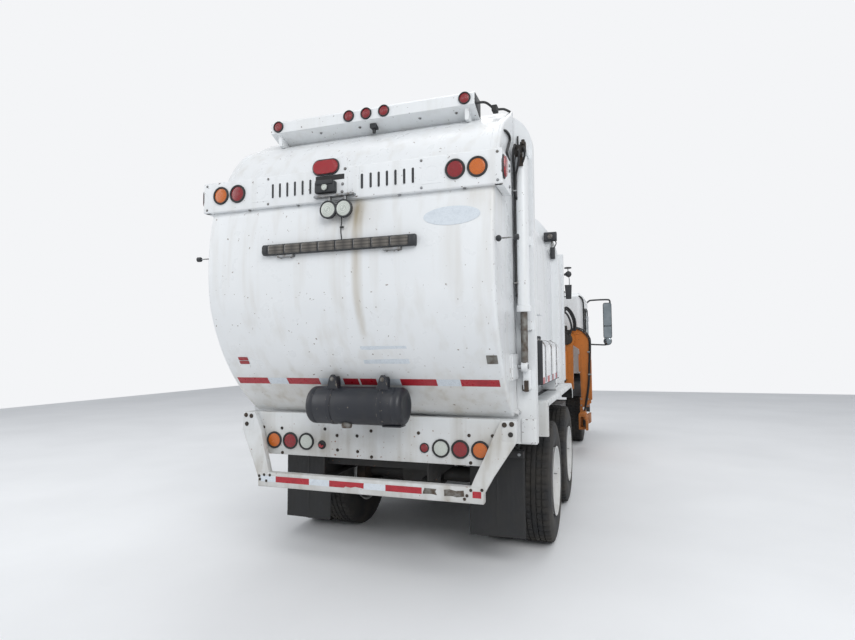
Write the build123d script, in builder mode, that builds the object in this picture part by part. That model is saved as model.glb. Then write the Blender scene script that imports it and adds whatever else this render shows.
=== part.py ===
import os
from math import atan2, cos, degrees, hypot, radians, sin, sqrt

from build123d import *

os.makedirs("parts", exist_ok=True)

# An automated side-loading garbage truck with three axles.
# Millimetres. +X is the truck's right, +Y is forward, +Z is up, and the ground is Z 0.
# The origin is on the ground, under the middle of the truck's length and width.

# Overall sizes and axle places.
overall_length = 8910.0
front_face_y = overall_length / 2
rear_overhang = 1860.0
rear_axle_y = rear_overhang - overall_length / 2
tandem_spacing = 1370.0
tandem_y = rear_axle_y + tandem_spacing
tandem_middle_y = rear_axle_y + tandem_spacing / 2
front_overhang = 1400.0
front_axle_y = front_face_y - front_overhang

# Clearances.
running_gap = 6.0
pin_gap = 0.05
pad_gap = 0.3

# Wheels and tyres.
rear_tyre_radius = 520.0
front_tyre_radius = 540.0
tyre_half_width = 138.0
bead_radius = 284.0
rim_wall = 12.0
dual_half_spacing = 171.5
dual_plane_x = 911.0
front_wheel_x = 1000.0
hub_radius = 115.0
hub_bore_radius = 45.0

# Chassis frame.
rail_outer_x = 432.0
rail_height = 290.0
rail_top_z = 1000.0
rail_bottom_z = rail_top_z - rail_height
rail_flange = 89.0
rail_wall = 10.0
rail_front_y = front_axle_y + 1130.0
subframe_height = 150.0
subframe_width = 80.0

# Body that holds the load.
ring_rear_y = rear_axle_y - 1050.0
ring_front_y = rear_axle_y - 950.0
ring_top_z = 3450.0
ring_bottom_z = 1000.0
ring_corner_radius = 270.0
body_half_width = 1035.0
ring_half_width = body_half_width + 160.0
body_floor_z = rail_top_z + subframe_height
body_roof_z = ring_top_z - 50.0
body_corner_radius = 780.0
body_wall = 40.0
body_front_y = front_axle_y - 2650.0
hopper_front_y = front_axle_y - 1100.0
sill_z = 2640.0
hopper_left_z = 2980.0
band_y = rear_axle_y + 1550.0
band_depth = 110.0
band_half_width = body_half_width + 85.0
post_half_width = body_half_width + 20.0
post_z = (1250.0, 3020.0)
hopper_half_width = body_half_width - 130.0
band_roof_z = ring_top_z
load_floor_z = body_floor_z + body_wall
load_half_width = body_half_width - body_wall
hopper_inner_half = hopper_half_width - body_wall

# Tailgate, hung at its top.
gate_hinge_y = rear_axle_y - 1000.0
gate_hinge_z = ring_top_z + 28.0
gate_half_width = body_half_width + 25.0
gate_wall = 30.0
gate_front_y = ring_rear_y - 10.0
gate_bottom_z = 1210.0
gate_lip = 90.0
hinge_stations = (-620.0, 0.0, 620.0)
hinge_pin_radius = 14.0
hinge_lug_radius = 34.0
hinge_lug_width = 40.0

# Bars and lamps on the tailgate.
mid_bar_half_width = gate_half_width + 55.0
mid_bar_face_y = rear_axle_y - 1796.0
mid_bar_z = (2700.0, 2923.0)
top_bar_half_width = 840.0
top_bar_face_y = rear_axle_y - 1362.0
lamp_radius = 66.0
small_lamp_radius = 45.0
lamp_depth = 12.0
mid_lamp_z = 2819.0
top_lamp_z = ring_top_z + 22.0

# Lift cylinders of the tailgate.
cylinder_x = gate_half_width + 70.0
cylinder_radius = 45.0
cylinder_top_y = ring_rear_y - 85.0
cylinder_top_z = ring_top_z - 320.0
rod_eye_z = 1560.0
barrel_length = 1180.0
rod_radius = 25.0
ear_wall = 20.0
eye_pin_radius = 18.0

# Tail panel and underride guard.
panel_half_width = gate_half_width + 22.0
panel_rear_y = rear_axle_y - 1285.0
panel_depth = 60.0
panel_wall = 10.0
panel_z = (870.0, 1200.0)
rail_rear_y = panel_rear_y + panel_depth
panel_lamp_z = 982.0
guard_half_width = panel_half_width - 197.0
guard_rear_y = rear_axle_y - 1427.0
guard_z = (647.0, 757.0)
guard_depth = 70.0

# Fenders over the rear axles.
fender_x = (body_half_width + 51.0, body_half_width + 190.0)
side_tank_x = body_half_width + 170.0
side_tank_y = (rear_axle_y - 750.0, rear_axle_y + 500.0)
side_tank_z = (1400.0, 1760.0)
fender_y = (rear_axle_y - 600.0, rear_axle_y + 1980.0)
fender_top_z = 1275.0
fender_wall = 24.0
fender_drop_z = (990.0, 1090.0)

# Cab.
cab_half_width = 1190.0
cab_rear_y = front_axle_y - 430.0
cab_front_y = front_face_y - 100.0
cab_bottom_z = 800.0
cab_roof_z = 2700.0
cab_wall = 50.0
cab_floor_z = 1300.0
step_floor_z = 860.0
step_y = front_axle_y + 740.0
cab_base_z = 1250.0
cab_corner_radius = 110.0
step_rear_y = front_axle_y + 690.0
tunnel_front_y = front_axle_y + 1010.0
arch_radius = 682.0
arch_guard_wall = 20.0
arch_guard_x = (830.0, 1130.0)
arch_inner_x = 500.0
tunnel_half_width = 460.0
tunnel_wall = 34.0
tunnel_top_z = 1560.0
tilt_y = front_axle_y + 1090.0
tilt_z = 800.0
tilt_pin_radius = 20.0
door_y = (front_axle_y + 300.0, front_axle_y + 1200.0)
door_z = (860.0, 2560.0)
door_gap = 7.0
hinge_barrel_radius = 9.0
door_hinge_x = cab_half_width + 16.0
door_hinge_y = door_y[1] - door_gap
door_hinge_z = (1420.0, 2300.0)
hinge_half_height = 40.0
door_pin_radius = 6.0
door_arch_radius = arch_radius + 43.0
door_window_y = (front_axle_y + 390.0, front_axle_y + 1120.0)
door_window_z = (1640.0, 2470.0)
glass_wall = 8.0

# Loading arm.
arm_y = (front_axle_y - 870.0, front_axle_y - 730.0)
mast_y = (front_axle_y - 1040.0, front_axle_y - 900.0)
mast_x = (850.0, 1040.0)
beam_z = (1010.0, 1230.0)
beam_y = (front_axle_y - 1065.0, front_axle_y - 875.0)
beam_x = (-560.0, 800.0)
beam_wall = 14.0
arm_pivot_x = 950.0
arm_pivot_z = 1850.0
arm_hub_radius = 125.0
arm_leg_x = (1135.0, 1330.0)
arm_foot_z = 760.0
gripper_z = (400.0, 640.0)
finger_pivot_x = 1215.0
finger_pin_radius = 22.0
finger_pivot_y = (front_axle_y - 1420.0, front_axle_y - 1180.0)
finger_length = 470.0


# A box from low and high pairs.
def block(x, y, z, mode=Mode.ADD):
    with Locations(((x[0] + x[1]) / 2, (y[0] + y[1]) / 2, (z[0] + z[1]) / 2)):
        Box(x[1] - x[0], y[1] - y[0], z[1] - z[0], mode=mode)


# Round bars along X, Y and Z, from a low and a high end.
def bar_x(x, y, z, radius, mode=Mode.ADD):
    with Locations(Location(((x[0] + x[1]) / 2, y, z), (0, 90, 0))):
        Cylinder(radius, x[1] - x[0], mode=mode)


def bar_y(x, y, z, radius, mode=Mode.ADD):
    with Locations(Location((x, (y[0] + y[1]) / 2, z), (90, 0, 0))):
        Cylinder(radius, y[1] - y[0], mode=mode)


def bar_z(x, y, z, radius, mode=Mode.ADD):
    with Locations((x, y, (z[0] + z[1]) / 2)):
        Cylinder(radius, z[1] - z[0], mode=mode)


# A low and high pair on the truck's right or left side.
def on_side(side, pair):
    return tuple(sorted((side * pair[0], side * pair[1])))


# A straight-sided face from its corners.
def face_of(*points):
    with BuildSketch() as sheet:
        with BuildLine():
            Polyline(*points, close=True)
        make_face()
    return sheet.sketch


# A face drawn as (Y, Z), made solid between two X places.
def across(face, x, mode=Mode.ADD):
    with BuildSketch(Plane.YZ.offset(x[0])) as placed:
        add(face)
    extrude(placed.sketch, amount=x[1] - x[0], mode=mode)


# A face drawn as (X, Z), made solid between two Y places.
def along(face, y, mode=Mode.ADD):
    with BuildSketch(Plane.XZ.offset(-y[0])) as placed:
        add(face)
    extrude(placed.sketch, amount=y[0] - y[1], mode=mode)


# Labels a piece and writes it as its own file.
def keep(piece, node):
    piece.part.label = node
    export_step(piece.part, f"parts/{node}.step")


sides = (("left", -1), ("right", 1))
rear_axles_y = (("rear", rear_axle_y), ("middle", tandem_y))

# Chassis frame: two channel rails, crossmembers, and the sub-frame that carries the body.
crossmember_y = (-1100.0, -420.0, 1900.0, 3000.0, 3900.0)
with BuildPart() as frame:
    for name, side in sides:
        block(on_side(side, (rail_outer_x - rail_flange, rail_outer_x)), (rail_rear_y, rail_front_y),
              (rail_bottom_z, rail_top_z))
        block(on_side(side, (rail_outer_x - rail_flange, rail_outer_x - rail_wall)),
              (rail_rear_y, rail_front_y),
              (rail_bottom_z + rail_wall, rail_top_z - rail_wall), Mode.SUBTRACT)
        block(on_side(side, (rail_outer_x - subframe_width, rail_outer_x)), (rail_rear_y, hopper_front_y),
              (rail_top_z, body_floor_z))
        bar_x(on_side(side, (rail_outer_x - rail_wall, arch_inner_x)), tilt_y, tilt_z, tilt_pin_radius)
    for offset_y in crossmember_y:
        block((rail_wall - rail_outer_x, rail_outer_x - rail_wall),
              (rear_axle_y + offset_y - 60, rear_axle_y + offset_y + 60),
              (rail_bottom_z + 85, rail_top_z - 85))
    block((rail_wall - rail_outer_x, rail_outer_x - rail_wall), (rail_front_y - 120, rail_front_y),
          (rail_bottom_z + rail_wall, rail_bottom_z + 100))
keep(frame, "frame")

# Rear axles with their bowls, and the drive shafts that join them to the gearbox.
axle_tube_radius = 70.0
axle_end_x = dual_plane_x + 40.0
bowl_radius = 190.0
bowl_half_length = 150.0
shaft_radius = 45.0
gearbox_rear_y = front_axle_y - 1550.0
with BuildPart() as rear_axles:
    for name, y in rear_axles_y:
        bar_x((-axle_end_x + 90, axle_end_x - 90), y, rear_tyre_radius, axle_tube_radius)
        bar_y(0, (y - bowl_half_length, y + bowl_half_length), rear_tyre_radius, bowl_radius)
    bar_y(0, (rear_axle_y, gearbox_rear_y), rear_tyre_radius + 60, shaft_radius)
keep(rear_axles, "rear_axles")

# Walking beams at the back and leaf springs at the front.
beam_x_pair = (448.0, 540.0)
spring_x_pair = (376.0, 466.0)
beam_top_z = rear_tyre_radius - axle_tube_radius
with BuildPart() as suspension:
    for name, side in sides:
        beam_face = face_of(
            (rear_axle_y - 90, 330), (rear_axle_y + 90, 290), (tandem_middle_y, 250), (tandem_y - 90, 290),
            (tandem_y + 90, 330), (tandem_y + 90, beam_top_z), (tandem_y - 90,
                                                                beam_top_z), (tandem_middle_y + 160, 400),
            (tandem_middle_y + 160, rail_bottom_z + 60), (tandem_middle_y - 160, rail_bottom_z + 60),
            (tandem_middle_y - 160, 400), (rear_axle_y + 90, beam_top_z), (rear_axle_y - 90, beam_top_z),
        )
        across(beam_face, on_side(side, beam_x_pair))
        block(on_side(side, (rail_outer_x, beam_x_pair[0])), (tandem_middle_y - 160, tandem_middle_y + 160),
              (rail_bottom_z, rail_bottom_z + 60))
        with BuildSketch(Plane.YZ.offset(min(on_side(side, spring_x_pair)))) as leaves:
            with BuildLine():
                low = ThreePointArc((front_axle_y - 620, 690), (front_axle_y, 520),
                                    (front_axle_y + 620, 690))
                Line(low @ 1, (front_axle_y + 620, rail_bottom_z))
                high = ThreePointArc((front_axle_y + 620, rail_bottom_z), (front_axle_y, 590),
                                     (front_axle_y - 620, rail_bottom_z))
                Line(high @ 1, low @ 0)
            make_face()
        extrude(amount=spring_x_pair[1] - spring_x_pair[0])
        block(on_side(side, spring_x_pair), (front_axle_y - 60, front_axle_y + 60), (440, 530))
keep(suspension, "suspension")

# Front axle: a dropped beam with a boss for each king pin.
king_pin_x = 780.0
king_pin_radius = 20.0
king_boss_radius = 46.0
king_boss_z = (front_tyre_radius - 90.0, front_tyre_radius + 90.0)
with BuildPart() as front_axle:
    half = ((king_pin_x, 600), (680, 600), (560, 439.7), (0, 439.7))
    low_half = ((0, 350), (580, 350), (700, 480), (king_pin_x, 480))
    beam_face = face_of(
        *[(-x, z) for x, z in half], *[(x, z) for x, z in reversed(half[:-1])],
        *[(x, z) for x, z in reversed(low_half)], *[(-x, z) for x, z in low_half[1:]],
    )
    along(beam_face, (front_axle_y - 50, front_axle_y + 50))
    for name, side in sides:
        bar_z(side * king_pin_x, front_axle_y, king_boss_z, king_boss_radius)
        bar_z(side * king_pin_x, front_axle_y, (0, 2 * front_tyre_radius), king_pin_radius + pin_gap,
              Mode.SUBTRACT)
keep(front_axle, "front_axle")

# Engine and gearbox as plain blocks, with the radiator ahead of them.
with BuildPart() as engine:
    block((-325, 325), (front_axle_y - 570, front_axle_y + 670), (620, 1480))
    block((-240, 240), (gearbox_rear_y, front_axle_y - 570), (660, 980))
    block((-300, 300), (front_axle_y + 670, front_axle_y + 750), (700, 1300))
    block((-400, 400), (front_axle_y + 850, front_axle_y + 950), (1010, 1480))
    block((-330, 330), (front_axle_y + 750, front_axle_y + 850), (1020, 1100))
    for offset_y in (-350, 450):
        block((rail_wall - rail_outer_x, rail_outer_x - rail_wall),
              (front_axle_y + offset_y, front_axle_y + offset_y + 120),
              (rail_bottom_z + 20, rail_bottom_z + 90))
keep(engine, "engine")

# Fuel tank on the left, battery and air tanks on the right, between the middle and front wheels.
fuel_tank_y = (tandem_y + 880.0, front_axle_y - 1900.0)
battery_box_y = tandem_y + 930.0
air_tank_y = (tandem_y + 1680.0, front_axle_y - 1700.0)
with BuildPart() as tanks:
    with BuildSketch() as fuel_tank_end:
        with Locations((-800, 720)):
            RectangleRounded(600, 560, 130)
    along(fuel_tank_end.sketch, fuel_tank_y)
    for share in (0.15, 0.75):
        bracket_y = fuel_tank_y[0] + share * (fuel_tank_y[1] - fuel_tank_y[0])
        block((-rail_outer_x - 80, -rail_outer_x), (bracket_y, bracket_y + 60), (760, 960))
    block((rail_outer_x, 1050), (battery_box_y, battery_box_y + 650), (560, 960))
    bar_y(640, air_tank_y, 760, 140)
    bracket_inset = (air_tank_y[1] - air_tank_y[0]) / 6
    block((rail_outer_x, 540), (air_tank_y[0] + bracket_inset, air_tank_y[1] - bracket_inset), (800, 900))
keep(tanks, "tanks")

# Exhaust stack behind the cab and the air intake beside it.
stack_y = front_axle_y - 740.0
with BuildPart() as exhaust:
    bar_z(-900, stack_y, (1240, 2900), 90)
    block((-960, -rail_outer_x), (stack_y - 80, stack_y + 80), (1130, 1240))
    block((-960, -rail_outer_x), (stack_y - 80, stack_y - 50), (900, 1130))
    bar_z(-900, stack_y, (2900, 3050), 60)
keep(exhaust, "exhaust")

# Front bumper with its two tow eyes.
bumper_z = (390.0, 620.0)
bumper_depth = 110.0
tow_eye_x = 420.0
tow_eye_radius = 24.0
tow_eye_z = 320.0
tow_eye_length = 40.0
with BuildPart() as front_bumper:
    with BuildSketch(Plane.XY.offset(bumper_z[0])) as plan:
        with Locations((0, front_face_y - bumper_depth / 2)):
            Rectangle(2 * cab_half_width, bumper_depth)
        chamfer(plan.vertices().group_by(Axis.Y)[-1], 80)
    extrude(amount=bumper_z[1] - bumper_z[0])
    for name, side in sides:
        bracket_x = on_side(side, (rail_outer_x - rail_flange, rail_outer_x))
        block(bracket_x, (rail_front_y - 100, rail_front_y), (bumper_z[0] + 40, rail_bottom_z))
        block(bracket_x, (rail_front_y, front_face_y - bumper_depth), (bumper_z[0] + 40, bumper_z[1] - 20))
        lamp_x = side * 900
        block((lamp_x - 150, lamp_x + 150), (front_face_y - 40, front_face_y + 10), (430, 580),
              Mode.SUBTRACT)
        ear = on_side(side, (tow_eye_x - tow_eye_length / 2, tow_eye_x + tow_eye_length / 2))
        block(ear, (front_face_y - 110, front_face_y - 10), (tow_eye_z, bumper_z[0]))
        bar_x(ear, front_face_y - 60, tow_eye_z, 50)
        bar_x(ear, front_face_y - 60, tow_eye_z, tow_eye_radius, Mode.SUBTRACT)
keep(front_bumper, "front_bumper")

# Body shell: flat sides, wide round corners at the roof, open at both ends.
def load_section(inset):
    with BuildSketch() as section:
        with Locations((0, (body_floor_z + body_roof_z) / 2)):
            Rectangle(2 * (body_half_width - inset), body_roof_z - body_floor_z - 2 * inset)
        fillet(section.vertices().group_by(Axis.Y)[-1], body_corner_radius - inset)
    return section.sketch


outer_section = load_section(0)
inner_section = load_section(body_wall)
bulkhead_z = 2240.0
with BuildPart() as body_shell:
    along(outer_section, (ring_front_y, body_front_y))
    along(inner_section, (ring_front_y, body_front_y - body_wall), Mode.SUBTRACT)
    block((-hopper_inner_half, hopper_inner_half), (body_front_y - body_wall, body_front_y),
          (load_floor_z, bulkhead_z), Mode.SUBTRACT)
keep(body_shell, "body_shell")

# Rear ring: the flange around the mouth of the body, with the tailgate's hinge lugs
# and the brackets that hold the lift cylinders.
with BuildPart() as rear_ring:
    with BuildSketch() as ring_outline:
        with Locations((0, (ring_bottom_z + ring_top_z) / 2)):
            Rectangle(2 * ring_half_width, ring_top_z - ring_bottom_z)
        fillet(ring_outline.vertices().group_by(Axis.Y)[-1], ring_corner_radius)
    along(ring_outline.sketch, (ring_rear_y, ring_front_y))
    along(inner_section, (ring_rear_y, ring_front_y), Mode.SUBTRACT)
    block((-rail_outer_x - 5, rail_outer_x + 5), (ring_rear_y, ring_front_y),
          (ring_bottom_z, body_floor_z), Mode.SUBTRACT)
    for x in hinge_stations:
        for lug_x in (x - hinge_lug_width * 1.5 - 6, x + hinge_lug_width * 0.5 + 6):
            lug = (lug_x, lug_x + hinge_lug_width)
            block(lug, (gate_hinge_y - hinge_lug_radius, gate_hinge_y + hinge_lug_radius),
                  (ring_top_z - 5, gate_hinge_z + hinge_pin_radius + 10))
        bar_x((x - hinge_lug_width - 6, x + hinge_lug_width + 6), gate_hinge_y, gate_hinge_z,
              hinge_pin_radius)
keep(rear_ring, "rear_ring")

# Forks on the ring that hold the lift cylinders by a pin each.
fork_half_height = 40.0
with BuildPart() as cylinder_brackets:
    for name, side in sides:
        block(on_side(side, (cylinder_x - 42, cylinder_x + 42)), (ring_rear_y - 20, ring_rear_y),
              (cylinder_top_z - fork_half_height, cylinder_top_z + fork_half_height))
        for ear_x in (cylinder_x - 42, cylinder_x + 28):
            block(on_side(side, (ear_x, ear_x + 14)), (cylinder_top_y, ring_rear_y - 10),
                  (cylinder_top_z - fork_half_height, cylinder_top_z + fork_half_height))
            bar_x(on_side(side, (ear_x, ear_x + 14)), cylinder_top_y, cylinder_top_z, fork_half_height)
        bar_x(on_side(side, (cylinder_x - 30, cylinder_x + 30)), cylinder_top_y, cylinder_top_z,
              eye_pin_radius)
keep(cylinder_brackets, "cylinder_brackets")

# Hopper between the body and the cab, narrower than the body and open at the top. Its right side
# is lower where bins tip in, and the left wall slopes down to the front wall.
hopper_rim = 60.0
with BuildPart() as hopper:
    block((-hopper_half_width, hopper_half_width), (body_front_y, hopper_front_y),
          (body_floor_z, hopper_left_z))
    block((-hopper_inner_half, hopper_inner_half), (body_front_y, hopper_front_y - body_wall),
          (load_floor_z, hopper_left_z), Mode.SUBTRACT)
    slope_face = face_of(
        (300 - hopper_inner_half, hopper_left_z), (700 - hopper_inner_half, sill_z),
        (hopper_half_width + 1, sill_z), (hopper_half_width + 1, hopper_left_z + 1),
        (300 - hopper_inner_half, hopper_left_z + 1),
    )
    along(slope_face, (body_front_y + 120, hopper_front_y + 1), Mode.SUBTRACT)
    for name, side in sides:
        rim_z = sill_z if side > 0 else hopper_left_z
        block(on_side(side, (hopper_half_width, hopper_half_width + 30)),
              (body_front_y + 120, hopper_front_y), (rim_z - hopper_rim, rim_z))
keep(hopper, "hopper")

# A raised band around the body, and square posts at its front corners.
with BuildPart() as body_bands:
    with BuildSketch() as band_outline:
        with Locations((0, (body_floor_z + band_roof_z) / 2)):
            Rectangle(2 * band_half_width, band_roof_z - body_floor_z)
        fillet(band_outline.vertices().group_by(Axis.Y)[-1], body_corner_radius)
        add(outer_section, mode=Mode.SUBTRACT)
        with Locations((0, (body_floor_z + fender_top_z) / 2)):
            Rectangle(2 * band_half_width, fender_top_z - body_floor_z + 20, mode=Mode.SUBTRACT)
    along(band_outline.sketch, (band_y, band_y + band_depth))
    for name, side in sides:
        block(on_side(side, (hopper_half_width, post_half_width)),
              (body_front_y - band_depth, body_front_y), post_z)
    along(outer_section, (body_front_y - band_depth - 1, body_front_y + 1), Mode.SUBTRACT)
keep(body_bands, "body_bands")

# Tank on the right side above the fender, with a round top edge.
with BuildPart() as side_tank:
    with BuildSketch() as tank_end:
        with Locations(((body_half_width + side_tank_x) / 2, (side_tank_z[0] + side_tank_z[1]) / 2)):
            Rectangle(side_tank_x - body_half_width, side_tank_z[1] - side_tank_z[0])
        fillet(tank_end.vertices().group_by(Axis.Y)[-1].sort_by(Axis.X)[-1], 60)
    along(tank_end.sketch, side_tank_y)
    for y in (side_tank_y[0] + 220, side_tank_y[1] - 260):
        block((body_half_width, side_tank_x - 20), (y, y + 40), (side_tank_z[0] - 40, side_tank_z[0]))
keep(side_tank, "side_tank")

# Fenders: a top plate between a rear and a front drop, on the body's sides.
with BuildPart() as fenders:
    for name, side in sides:
        fender_face = face_of(
            (fender_y[0], fender_drop_z[0]), (fender_y[0], fender_top_z), (fender_y[1] - 150, fender_top_z),
            (fender_y[1], fender_top_z - 90), (fender_y[1], fender_drop_z[1]),
            (fender_y[1] - fender_wall, fender_drop_z[1]), (fender_y[1] - fender_wall, fender_top_z - 100),
            (fender_y[1] - 160, fender_top_z - fender_wall), (fender_y[0] + fender_wall,
                                                              fender_top_z - fender_wall),
            (fender_y[0] + fender_wall, fender_drop_z[0]),
        )
        across(fender_face, on_side(side, fender_x))
        block(on_side(side, (body_half_width, fender_x[0])), (fender_y[0] + 100, fender_y[1] - 200),
              (fender_top_z - fender_wall, fender_top_z))
keep(fenders, "fenders")

# Mud flaps behind the rear wheels, each under its hanger.
flap_y = rear_axle_y - 760.0
with BuildPart() as mud_flaps:
    for name, side in sides:
        block(on_side(side, (620, 1200)), (flap_y, flap_y + 14), (230, 900))
        block(on_side(side, (rail_outer_x, 1180)), (flap_y - 30, flap_y), (840, 900))
keep(mud_flaps, "mud_flaps")

# Tail panel: a pressed channel that carries the lamps.
panel_lamps = (("amber", 835.0), ("red", 690.0), ("clear", 547.0))
with BuildPart() as tail_panel:
    block((-panel_half_width, panel_half_width), (panel_rear_y, panel_rear_y + panel_depth), panel_z)
    block((panel_wall - panel_half_width, panel_half_width - panel_wall),
          (panel_rear_y + panel_wall, panel_rear_y + panel_depth),
          (panel_z[0] + panel_wall, panel_z[1] - panel_wall), Mode.SUBTRACT)
keep(tail_panel, "tail_panel")

# Lamps on the chassis: those of the tail panel, and the head lamps in the bumper.
with BuildPart() as road_lamps:
    for name, side in sides:
        for colour, x in panel_lamps:
            bar_y(side * x, (panel_rear_y - lamp_depth, panel_rear_y), panel_lamp_z, lamp_radius)
        lamp_x = side * 900
        block((lamp_x - 148, lamp_x + 148), (front_face_y - 40, front_face_y - 4), (432, 578))
keep(road_lamps, "road_lamps")

# Underride guard: a bar held by two struts that slant in from the tail panel's ends.
# Each strut's section: height, inner X, outer X and middle Y.
strut_wall = 50.0
strut_sections = (
    (panel_z[1], panel_half_width - 92.0, panel_half_width + 18.0, panel_rear_y - strut_wall / 2),
    (1060.0, panel_half_width - 157.0, panel_half_width + 18.0, panel_rear_y - strut_wall / 2),
    (guard_z[0] + 60.0, guard_half_width - 110.0, guard_half_width, guard_rear_y + strut_wall / 2),
)
with BuildPart() as underride_guard:
    block((-guard_half_width, guard_half_width), (guard_rear_y, guard_rear_y + guard_depth), guard_z)
    for name, side in sides:
        for z, inner_x, outer_x, middle_y in strut_sections:
            with BuildSketch(Plane.XY.offset(z)):
                with Locations((side * (inner_x + outer_x) / 2, middle_y)):
                    Rectangle(outer_x - inner_x, strut_wall)
        loft(ruled=True)
keep(underride_guard, "underride_guard")

# Tailgate: a bulged shell, open to the body, drawn as its side outline.
# Each point of it is a distance behind the rear axle and a share of the height above its foot.
def gate_point(back, share):
    return (rear_axle_y - back, gate_bottom_z + share * (ring_top_z - gate_bottom_z))


with BuildSketch() as gate_outline:
    with BuildLine():
        slope = Line((gate_front_y, ring_top_z + 5), gate_point(1400, 0.913))
        brow = ThreePointArc(slope @ 1, gate_point(1521, 0.859), gate_point(1610, 0.799))
        upper = Line(brow @ 1, gate_point(1765, 0.661))
        bulge = ThreePointArc(upper @ 1, gate_point(1815, 0.487), gate_point(1790, 0.353))
        belly = ThreePointArc(bulge @ 1, gate_point(1590, 0.165), gate_point(1205, 0))
        foot = Line(belly @ 1, (gate_front_y, gate_bottom_z))
        Line(foot @ 1, slope @ 0)
    make_face()
with BuildSketch() as gate_hollow:
    add(gate_outline.sketch)
    offset(amount=-gate_wall, kind=Kind.INTERSECTION)
gate_inner_half = gate_half_width - gate_wall
with BuildPart() as tailgate:
    across(gate_outline.sketch, (-gate_half_width, gate_half_width))
    across(gate_hollow.sketch, (-gate_inner_half, gate_inner_half), Mode.SUBTRACT)
    block((gate_lip - gate_half_width, gate_half_width - gate_lip),
          (gate_front_y - gate_wall - 1, gate_front_y),
          (gate_bottom_z + gate_lip, ring_top_z - 100), Mode.SUBTRACT)
    for x in hinge_stations:
        lug = (x - hinge_lug_width / 2, x + hinge_lug_width / 2)
        lug_face = face_of(
            (gate_hinge_y - 12, gate_hinge_z - 20), (gate_hinge_y - 12, gate_hinge_z + 20),
            (gate_front_y - 60, gate_hinge_z), (gate_front_y - 100, ring_top_z - 55), (gate_front_y - 4,
                                                                                       ring_top_z - 20),
            (gate_front_y - 4, gate_hinge_z - 20),
        )
        across(lug_face, lug)
        bar_x(lug, gate_hinge_y, gate_hinge_z, hinge_lug_radius - 12)
        bar_x(lug, gate_hinge_y, gate_hinge_z, hinge_pin_radius + pin_gap, Mode.SUBTRACT)
    for name, side in sides:
        ear = on_side(side, (gate_half_width, gate_half_width + ear_wall))
        block(ear, (rear_axle_y - 1330, cylinder_top_y + 50), (rod_eye_z - 90, rod_eye_z + 90))
keep(tailgate, "tailgate")

# Light bars: a channel across the middle and a box along the top.
mid_lamps = (("amber", 960.0), ("red", 816.0))
bar_wall = 8.0
louvre_starts = (-520.0, 235.0)
louvre_count = 6
louvre_step = 60.0
louvre_half_width = 9.0
louvre_z = (2759.0, 2861.0)
plate_face_y = mid_bar_face_y - 6.0
centre_plate_x = (-196.0, 66.0)
centre_plate_z = (2734.0, 2988.0)
camera_x = (-160.0, -10.0)
shelf_z = (2714.0, 2730.0)
top_lamps_x = (-768.0, -145.0, 0.0, 145.0, 768.0)
work_lamps_x = (-57.0, 59.0)
work_lamp_z = 2626.0
work_lamp_radius = 58.0
with BuildPart() as light_bars:
    mid_face = face_of(
        (mid_bar_face_y, mid_bar_z[0]), (mid_bar_face_y, mid_bar_z[1]),
        (rear_axle_y - 1500, mid_bar_z[1]), (rear_axle_y - 1500, mid_bar_z[0]),
    )
    across(mid_face, (-mid_bar_half_width, mid_bar_half_width))
    block((bar_wall - mid_bar_half_width, mid_bar_half_width - bar_wall),
          (mid_bar_face_y + bar_wall, rear_axle_y - 1490), (mid_bar_z[0] + bar_wall,
                                                            mid_bar_z[1] - bar_wall),
          Mode.SUBTRACT)
    for first_x in louvre_starts:
        for index in range(louvre_count):
            slot_x = first_x + index * louvre_step
            block((slot_x - louvre_half_width, slot_x + louvre_half_width),
                  (mid_bar_face_y - 1, mid_bar_face_y + bar_wall + 1), louvre_z, Mode.SUBTRACT)
    block(centre_plate_x, (plate_face_y, mid_bar_face_y), centre_plate_z)
    block(camera_x, (plate_face_y - 44, plate_face_y), (2746, 2824))
    block((centre_plate_x[0] + 26, centre_plate_x[1] + 62), (mid_bar_face_y - 46, mid_bar_face_y), shelf_z)
    across(gate_outline.sketch, (-mid_bar_half_width, mid_bar_half_width), Mode.SUBTRACT)
    top_face = face_of(
        (top_bar_face_y, ring_top_z - 30), (top_bar_face_y, ring_top_z + 55), (top_bar_face_y + 15,
                                                                               ring_top_z + 70),
        (gate_front_y - 120, ring_top_z + 70), (gate_front_y - 110, ring_top_z + 40), (gate_front_y - 110,
                                                                                       ring_top_z - 150),
        (gate_front_y - 210, ring_top_z - 150),
    )
    across(top_face, (-top_bar_half_width, top_bar_half_width))
    across(gate_outline.sketch, (-top_bar_half_width, top_bar_half_width), Mode.SUBTRACT)
keep(light_bars, "light_bars")

# Lamps on the tailgate.
with BuildPart() as tailgate_lamps:
    for name, side in sides:
        for colour, x in mid_lamps:
            bar_y(side * x, (mid_bar_face_y - lamp_depth, mid_bar_face_y), mid_lamp_z, lamp_radius)
    for x in top_lamps_x:
        bar_y(x, (top_bar_face_y - lamp_depth, top_bar_face_y), top_lamp_z, small_lamp_radius)
    with BuildSketch() as stop_lamp:
        with Locations((camera_x[0] + 65, 2932)):
            SlotOverall(190, 96)
    along(stop_lamp.sketch, (plate_face_y - 16, plate_face_y))
    for x in work_lamps_x:
        bar_y(x, (mid_bar_face_y - 56, mid_bar_face_y - 12), work_lamp_z, work_lamp_radius)
        block((x - 9, x + 9), (mid_bar_face_y - 40, mid_bar_face_y - 20), (work_lamp_z, shelf_z[0]))
keep(tailgate_lamps, "tailgate_lamps")

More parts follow.
